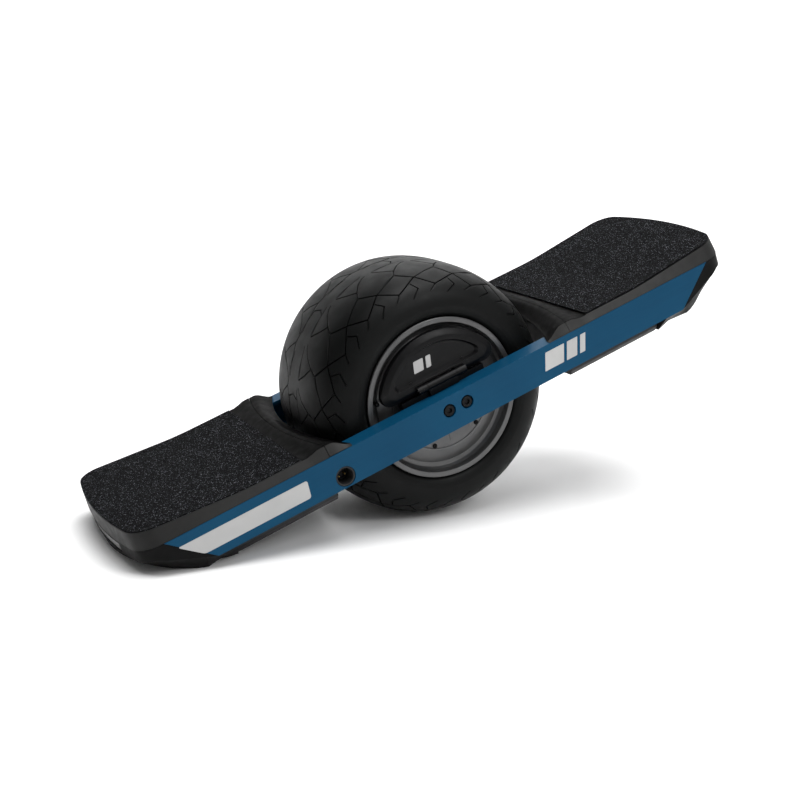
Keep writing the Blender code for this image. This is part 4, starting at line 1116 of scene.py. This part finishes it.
def softened(section, cut, steps=3):
    """Round the corners of a section, cutting each back by no more than its sides allow."""
    count = len(section)
    out = []
    for i, (u, v) in enumerate(section):
        before, after = section[i - 1], section[(i + 1) % count]
        ends = []
        for other in (before, after):
            away = hypot(other[0] - u, other[1] - v)
            t = min(cut / away, 0.42)
            ends.append((u + (other[0] - u) * t, v + (other[1] - v) * t))
        for k in range(steps + 1):
            t = k / steps
            out.append(tuple((1 - t) ** 2 * a + 2 * t * (1 - t) * b + t * t * c
                             for a, b, c in zip(ends[0], (u, v), ends[1])))
    return out


def hub():
    """Rim barrel with rolled flanges."""
    half = [(0.0690, 0.0735), (0.0800, 0.0737), (0.0828, 0.0775), (0.0838, RIM_FACE),
            (0.0892, RIM_FACE), (RIM_RADIUS, RIM_FACE - 0.0010), (0.0894, 0.0815),
            (0.0862, 0.0768), (0.0776, 0.0688), (0.0760, 0.0600), (0.0735, 0.0560)]
    section = softened(half + [(r, -y) for r, y in reversed(half)], 0.0007)
    piece("hub_shell_turned", revolve(section, 160), "hub_paint", "wheel", "hub_shell", smooth=50)


def hub_cover(side, hand):
    """Side cover: cone at the rim, a seam line, faint ribs and a ring of screws."""
    face = HUB_FACE
    outline = [(0.0115, face), (0.0115, 0.0738), (0.0178, 0.0735), (0.0178, 0.0610),
               (0.0225, 0.0610), (0.0225, 0.0700), (0.0683, 0.0700), (0.0683, 0.0738),
               (0.0750, 0.0738), (0.0750, 0.0752), (0.0600, face), (0.0584, face),
               (0.0582, face - 0.0007), (0.0574, face - 0.0007), (0.0572, face)]
    section = [(r, side * y) for r, y in softened(outline, 0.0004)]
    bm = revolve(section, 160)
    piece("hub_cover_%s_turned" % hand, bm, "hub_paint", "wheel", "hub_cover_" + hand, smooth=40)
    parts = []
    ribs = 12
    for i in range(ribs):
        a = 2 * pi * (i + 0.5) / ribs
        bar = prism([(0.0240, -0.0016), (0.0520, -0.0011), (0.0520, 0.0011), (0.0240, 0.0016)],
                    "Y", *sorted((side * (face - 0.0004), side * (face + 0.0005))))
        bmesh.ops.transform(bar, matrix=Matrix.Rotation(a, 4, "Y"), verts=bar.verts)
        parts.append(bar)
    ribs = piece("hub_cover_%s_ribs" % hand, merged(parts), "hub_paint", "wheel")
    rounded(ribs, 0.0003, 2)
    heads, sockets = [], []
    for i in range(6):
        a = atan2(-0.0550, -0.0070) + 2 * pi * i / 6
        centre = (0.0554 * cos(a), 0.0554 * sin(a))
        profile = [(0.0026, face - 0.0006), (0.0028, face + 0.0004), (0.0024, face + 0.0013),
                   (0.0016, face + 0.0017)]
        heads.append(turned([(r, side * y) for r, y in profile], 24, centre))
        sockets.append(prism(circle(0.0013, 6, *centre), "Y",
                             *sorted((side * (face + 0.0006), side * (face + 0.003)))))
    bm = shape(merged(heads), ("DIFFERENCE", merged(sockets)))
    piece("hub_cover_%s_screws" % hand, bm, "black_steel", "wheel")


def valve_stem():
    """Valve stem with a ribbed cap."""
    radius = -(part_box("valve_stem")[0].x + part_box("valve_stem")[1].x) / 2 + AXLE.x
    rows = [(0.0019, -0.0740), (0.0019, -0.0799), (0.0026, -0.0802), (0.0026, -0.0829),
            (0.0022, -0.0835), (0.0014, -0.0838)]
    bm = knurled(rows, 48, 0.0026, 0.00022, 4, (-radius, 0.0))
    piece("valve_stem_capped", bm, "black_steel", "wheel", "valve_stem", smooth=35)


# ---- carry handle ---------------------------------------------------------------------------
HANDLE_RADIUS, HANDLE_CHORD, HANDLE_CORNER = 0.0790, 0.0205, 0.0120
HANDLE_INNER, HANDLE_OUTER = -0.0850, -0.0970
KNUCKLE_START, KNUCKLE_END, KNUCKLE_RADIUS, HINGE_PIN_RADIUS = 0.0188, 0.0305, 0.0043, 0.0020
BARREL_HALF, BRACKET_HALF, PIN_HALF = 0.0185, 0.0520, 0.0302


def handle_outline(inset, corner_steps=12, arc_steps=48):
    """Half-moon about the axle, flat along its hinge edge, with round ends."""
    radius, chord = HANDLE_RADIUS - inset, HANDLE_CHORD + inset
    corner = HANDLE_CORNER - inset * 0.5
    centre_z = chord + corner
    reach = radius - corner
    centre_x = sqrt(reach * reach - centre_z * centre_z)
    turn = atan2(centre_z, centre_x)
    right = [(centre_x + corner * cos(a), centre_z + corner * sin(a))
             for a in (-pi / 2 + (turn + pi / 2) * i / corner_steps for i in range(corner_steps))]
    arc = [(radius * cos(a), radius * sin(a))
           for a in (turn + (pi - 2 * turn) * i / arc_steps for i in range(arc_steps + 1))]
    return right + arc + [(-x, z) for x, z in reversed(right)]


def carry_handle():
    """Folding handle: bevelled band around a shallow dish, with the hinge's knuckles."""
    bm = bmesh.new()
    loft(bm, [[(u, y, v) for u, v in handle_outline(inset)] for inset, y in (
        (0.0015, HANDLE_INNER), (0.0004, HANDLE_INNER - 0.0004), (0.0, HANDLE_INNER - 0.0015),
        (0.0, -0.0924), (0.0005, -0.0934), (0.0058, HANDLE_OUTER + 0.0002),
        (0.0070, HANDLE_OUTER))])
    dish = bmesh.new()
    loft(dish, [[(u, y, v + 0.0005) for u, v in handle_outline(inset)] for inset, y in (
        (0.0122, HANDLE_OUTER - 0.002), (0.0122, HANDLE_OUTER + 0.0004),
        (0.0140, HANDLE_OUTER + 0.0040), (0.0152, HANDLE_OUTER + 0.0045))])
    notch = box((-KNUCKLE_START - 0.0004, KNUCKLE_START + 0.0004),
                (HANDLE_OUTER - 0.002, HANDLE_INNER + 0.002), (0.0100, 0.0318))
    knuckles = merged([prism(circle(KNUCKLE_RADIUS, 40, HINGE.y, HINGE.z), "X",
                             *sorted((end * KNUCKLE_START, end * KNUCKLE_END)))
                       for end in (-1, 1)])
    hole = prism(circle(HINGE_PIN_RADIUS + GAP, 32, HINGE.y, HINGE.z), "X", -0.04, 0.04)
    middle = (HANDLE_OUTER + HANDLE_INNER) / 2
    pocket = box((0.0337, 0.0503), (middle - 0.0023, middle + 0.0023), (0.0190, 0.0241))
    bm = shape(bm, ("DIFFERENCE", dish), ("DIFFERENCE", notch), ("UNION", knuckles),
               ("DIFFERENCE", hole), ("DIFFERENCE", pocket))
    made = piece("carry_handle_moulded", bm, "handle_plastic", "handle", "carry_handle", smooth=24)
    rounded(made, 0.0004, 2, 36)
    dots = [turned([(0.0022, -0.0922), (0.0022, -0.0932), (0.0015, -0.0938)], 24, (x, 0.0345))
            for x in (-0.033, 0.033)]
    piece("carry_handle_rivets", merged(dots), "black_steel", "handle")
    bars = [prism(softened([(x, 0.0430), (x + length, 0.0430), (x + length + 0.0030, 0.0560),
                            (x + 0.0030, 0.0560)], 0.0012, 4), "Y", -0.0926, -0.0922)
            for x, length in ((-0.0250, 0.0120), (-0.0095, 0.0060))]
    piece("carry_handle_mark", merged(bars), "decal", "handle")


def handle_bracket():
    """Fixed bar with the middle barrel of the hinge."""
    bar = box((-BRACKET_HALF, BRACKET_HALF), (-0.0972, -0.0870), (0.0106, HANDLE_CHORD - GAP))
    leaf = box((-0.0183, 0.0183), (HINGE.y - 0.0025, -0.0945), (0.0156, HINGE.z))
    barrel = prism(circle(KNUCKLE_RADIUS, 40, HINGE.y, HINGE.z), "X", -BARREL_HALF, BARREL_HALF)
    hole = prism(circle(HINGE_PIN_RADIUS + GAP, 32, HINGE.y, HINGE.z), "X", -0.04, 0.04)
    bm = shape(bar, ("UNION", leaf), ("UNION", barrel), ("DIFFERENCE", hole))
    made = piece("handle_bracket_finished", bm, "black_steel", "board", "handle_bracket",
                 smooth=30)
    rounded(made, 0.0005, 2, 40)
    pin = turned([(0.0014, -PIN_HALF), (HINGE_PIN_RADIUS, -PIN_HALF + 0.0005),
                  (HINGE_PIN_RADIUS, PIN_HALF - 0.0005), (0.0014, PIN_HALF)], 32)
    for vert in pin.verts:
        x, y, z = vert.co
        vert.co = (y, HINGE.y + x, HINGE.z + z)
    piece("handle_hinge_pin_turned", pin, "steel", "board", "handle_hinge_pin")


# ---- printed panels -------------------------------------------------------------------------
PANEL = ((-0.3334, 0.0038), (-0.3105, -0.0157), (-0.1872, -0.0157), (-0.1850, 0.0038))
PANEL_CORNER, BAR_CORNER = 0.0030, 0.0008
BARS = ((0.1100, 0.0250), (0.1390, 0.0140), (0.1570, 0.0070))      # where each starts, its length
BAR_LOW, BAR_HIGH, BAR_SLANT = -0.0130, 0.0070, 0.0065


def rail_panel(name, side, corners, radius):
    """Thin printed panel on a rail's outer face, its corners rounded."""
    bm = prism(softened(corners, radius, 6), "Y",
               *sorted((side * HALF_WIDTH, side * (HALF_WIDTH + 0.00015))))
    piece(name, bm, "decal", "board")


def printed_panels():
    """Blank panel and a plain bar mark on each rail; nothing on them is lettering."""
    for side, hand in ((-1, "right"), (1, "left")):
        rail_panel("panel_" + hand, side, PANEL, PANEL_CORNER)
        for i, (start, length) in enumerate(BARS):
            rail_panel("mark_%s_%d" % (hand, i + 1), side,
                       [(start, BAR_LOW), (start + length, BAR_LOW),
                        (start + length + BAR_SLANT, BAR_HIGH), (start + BAR_SLANT, BAR_HIGH)],
                       BAR_CORNER)


# ---- assembly -------------------------------------------------------------------------------
look = finishes()

for end, front in (("front", True), ("rear", False)):
    footpad(end, front)
    fender_lip(end, front)
    grip(end, front)
    bumper(end, front)
    light_lens(end, front)
for side, hand in ((1, "left"), (-1, "right")):
    rail(side, hand)
    refined("axle_block_" + hand, "cast_aluminium", 0.0010)
    for index, x in enumerate((-AXLE_BOLT_X, AXLE_BOLT_X)):
        axle_bolt(side, hand, index + 1, x)
    hub_cover(side, hand)
for name in ("battery_box", "controller_box"):
    housing(name)
charging_socket()
power_button()
hub()
valve_stem()
tyre()
carry_handle()
handle_bracket()
printed_panels()

slots = {part["node"]: part["material_slot"] for part in frame["record"]["subparts"]}
for name, node in frame["nodes"].items():
    finish = look[slots[name]]
    for slot in node.material_slots:
        slot.material = finish
    node.data.shade_smooth()
    node.data.set_sharp_from_angle(angle=radians(30))


# ---- floor, light and camera ----------------------------------------------------------------
def plain_finish():
    """Even studio white, with a little unevenness in its sheen."""
    made = Finish("studio_white")
    white = (0.90, 0.90, 0.90, 1.0)
    made.colour(made.ramp(made.noise(3.0, 2.0), (0.3, white), (0.7, white)))
    made.rough(made.span(made.noise(30.0), 0.80, 0.85))
    return made.material


FLOOR_NEAR, FLOOR_FAR, FLOOR_HALF = -6.0, 2.2, 8.0
SWEEP_RADIUS, WALL_TOP = 1.6, 6.0


def studio():
    """Floor that sweeps up into a wall behind the board."""
    bm = bmesh.new()
    rows = [(FLOOR_NEAR, 0.0), (FLOOR_FAR, 0.0)]
    rows += [(FLOOR_FAR + SWEEP_RADIUS * sin(a), SWEEP_RADIUS - SWEEP_RADIUS * cos(a))
             for a in (pi / 2 * k / 16 for k in range(1, 17))]
    rows.append((FLOOR_FAR + SWEEP_RADIUS, WALL_TOP))
    grid = [[bm.verts.new((x, y, z)) for x in (-FLOOR_HALF, FLOOR_HALF)] for y, z in rows]
    for low, high in zip(grid, grid[1:]):
        bm.faces.new((low[0], low[1], high[1], high[0]))
    mesh = bpy.data.meshes.new("studio_floor")
    bm.to_mesh(mesh)
    bm.free()
    mesh.shade_smooth()
    mesh.materials.append(plain_finish())
    made = bpy.data.objects.new("studio_floor", mesh)
    made.rotation_euler.z = AZIMUTH
    bpy.context.scene.collection.objects.link(made)


def area_light(name, place, target, size, power):
    light = bpy.data.lights.new(name, "AREA")
    light.shape = "RECTANGLE"
    light.size, light.size_y = size
    light.energy = power
    made = bpy.data.objects.new(name, light)
    made.location = place
    made.rotation_euler = (Vector(target) - Vector(place)).to_track_quat("-Z", "Y").to_euler()
    bpy.context.scene.collection.objects.link(made)


AZIMUTH, ELEVATION = radians(-25.53), radians(13.88)       # the camera's
DISTANCE, LENS = 1.6272, 64.13
TARGET = AXLE + Vector((-0.0113, 0.0, -0.0201))
BACK = Vector((sin(AZIMUTH) * cos(ELEVATION), -cos(AZIMUTH) * cos(ELEVATION), sin(ELEVATION)))
RIGHT = Vector((cos(AZIMUTH), sin(AZIMUTH), 0.0))
NEAR = Vector((sin(AZIMUTH), -cos(AZIMUTH), 0.0))
UP = Vector((0.0, 0.0, 1.0))

studio()


def around(right, near, up):
    return AXLE + RIGHT * right + NEAR * near + UP * up


SUN_STRENGTH, SUN_SPREAD = 2.7, radians(44)
SKY_LEFT, SKY_RIGHT = 0.10, 0.58          # ambient light, brighter from the right

sun = bpy.data.lights.new("overhead", "SUN")
sun.energy, sun.angle = SUN_STRENGTH, SUN_SPREAD
overhead = bpy.data.objects.new("overhead", sun)
overhead.rotation_euler = (-(UP + RIGHT * 0.10 + NEAR * 0.14)).to_track_quat("-Z", "Y").to_euler()
bpy.context.scene.collection.objects.link(overhead)
area_light("top_softbox", around(0.3, -0.7, 1.4), around(0, 0, 0), (1.4, 0.8), 8)
area_light("facet_softbox", around(1.0, 1.0, 1.05), around(0.25, 0, 0.08), (0.6, 0.6), 9)
area_light("backdrop_wash", around(0, -2.2, 2.6), around(0, -3.9, 0.9), (5.0, 0.6), 55)

world = bpy.data.worlds.new("studio_world")
bpy.context.scene.world = world
world.use_nodes = True
nodes, links = world.node_tree.nodes, world.node_tree.links
backdrop, paper = nodes["Background"], nodes.new("ShaderNodeBackground")
for sheet in (backdrop, paper):
    sheet.inputs["Color"].default_value = (1.0, 1.0, 1.0, 1.0)
toward = nodes.new("ShaderNodeVectorMath")
toward.operation = "DOT_PRODUCT"
toward.inputs[1].default_value = RIGHT
level = nodes.new("ShaderNodeMapRange")
for key, value in (("From Min", -1.0), ("To Min", SKY_LEFT), ("To Max", SKY_RIGHT)):
    level.inputs[key].default_value = value
either = nodes.new("ShaderNodeMixShader")
for source, socket in (
        (nodes.new("ShaderNodeTexCoord").outputs["Generated"], toward.inputs[0]),
        (toward.outputs["Value"], level.inputs["Value"]),
        (level.outputs["Result"], backdrop.inputs["Strength"]),
        (nodes.new("ShaderNodeLightPath").outputs["Is Camera Ray"], either.inputs[0]),
        (backdrop.outputs[0], either.inputs[1]), (paper.outputs[0], either.inputs[2]),
        (either.outputs[0], nodes["World Output"].inputs[0])):
    links.new(source, socket)

lens = bpy.data.cameras.new("camera")
lens.lens, lens.sensor_width = LENS, 36.0
camera = bpy.data.objects.new("camera", lens)
camera.location = TARGET + BACK * DISTANCE
camera.rotation_euler = (-BACK).to_track_quat("-Z", "Y").to_euler()
bpy.context.scene.collection.objects.link(camera)
bpy.context.scene.camera = camera
bpy.context.scene.view_settings.view_transform = "Standard"
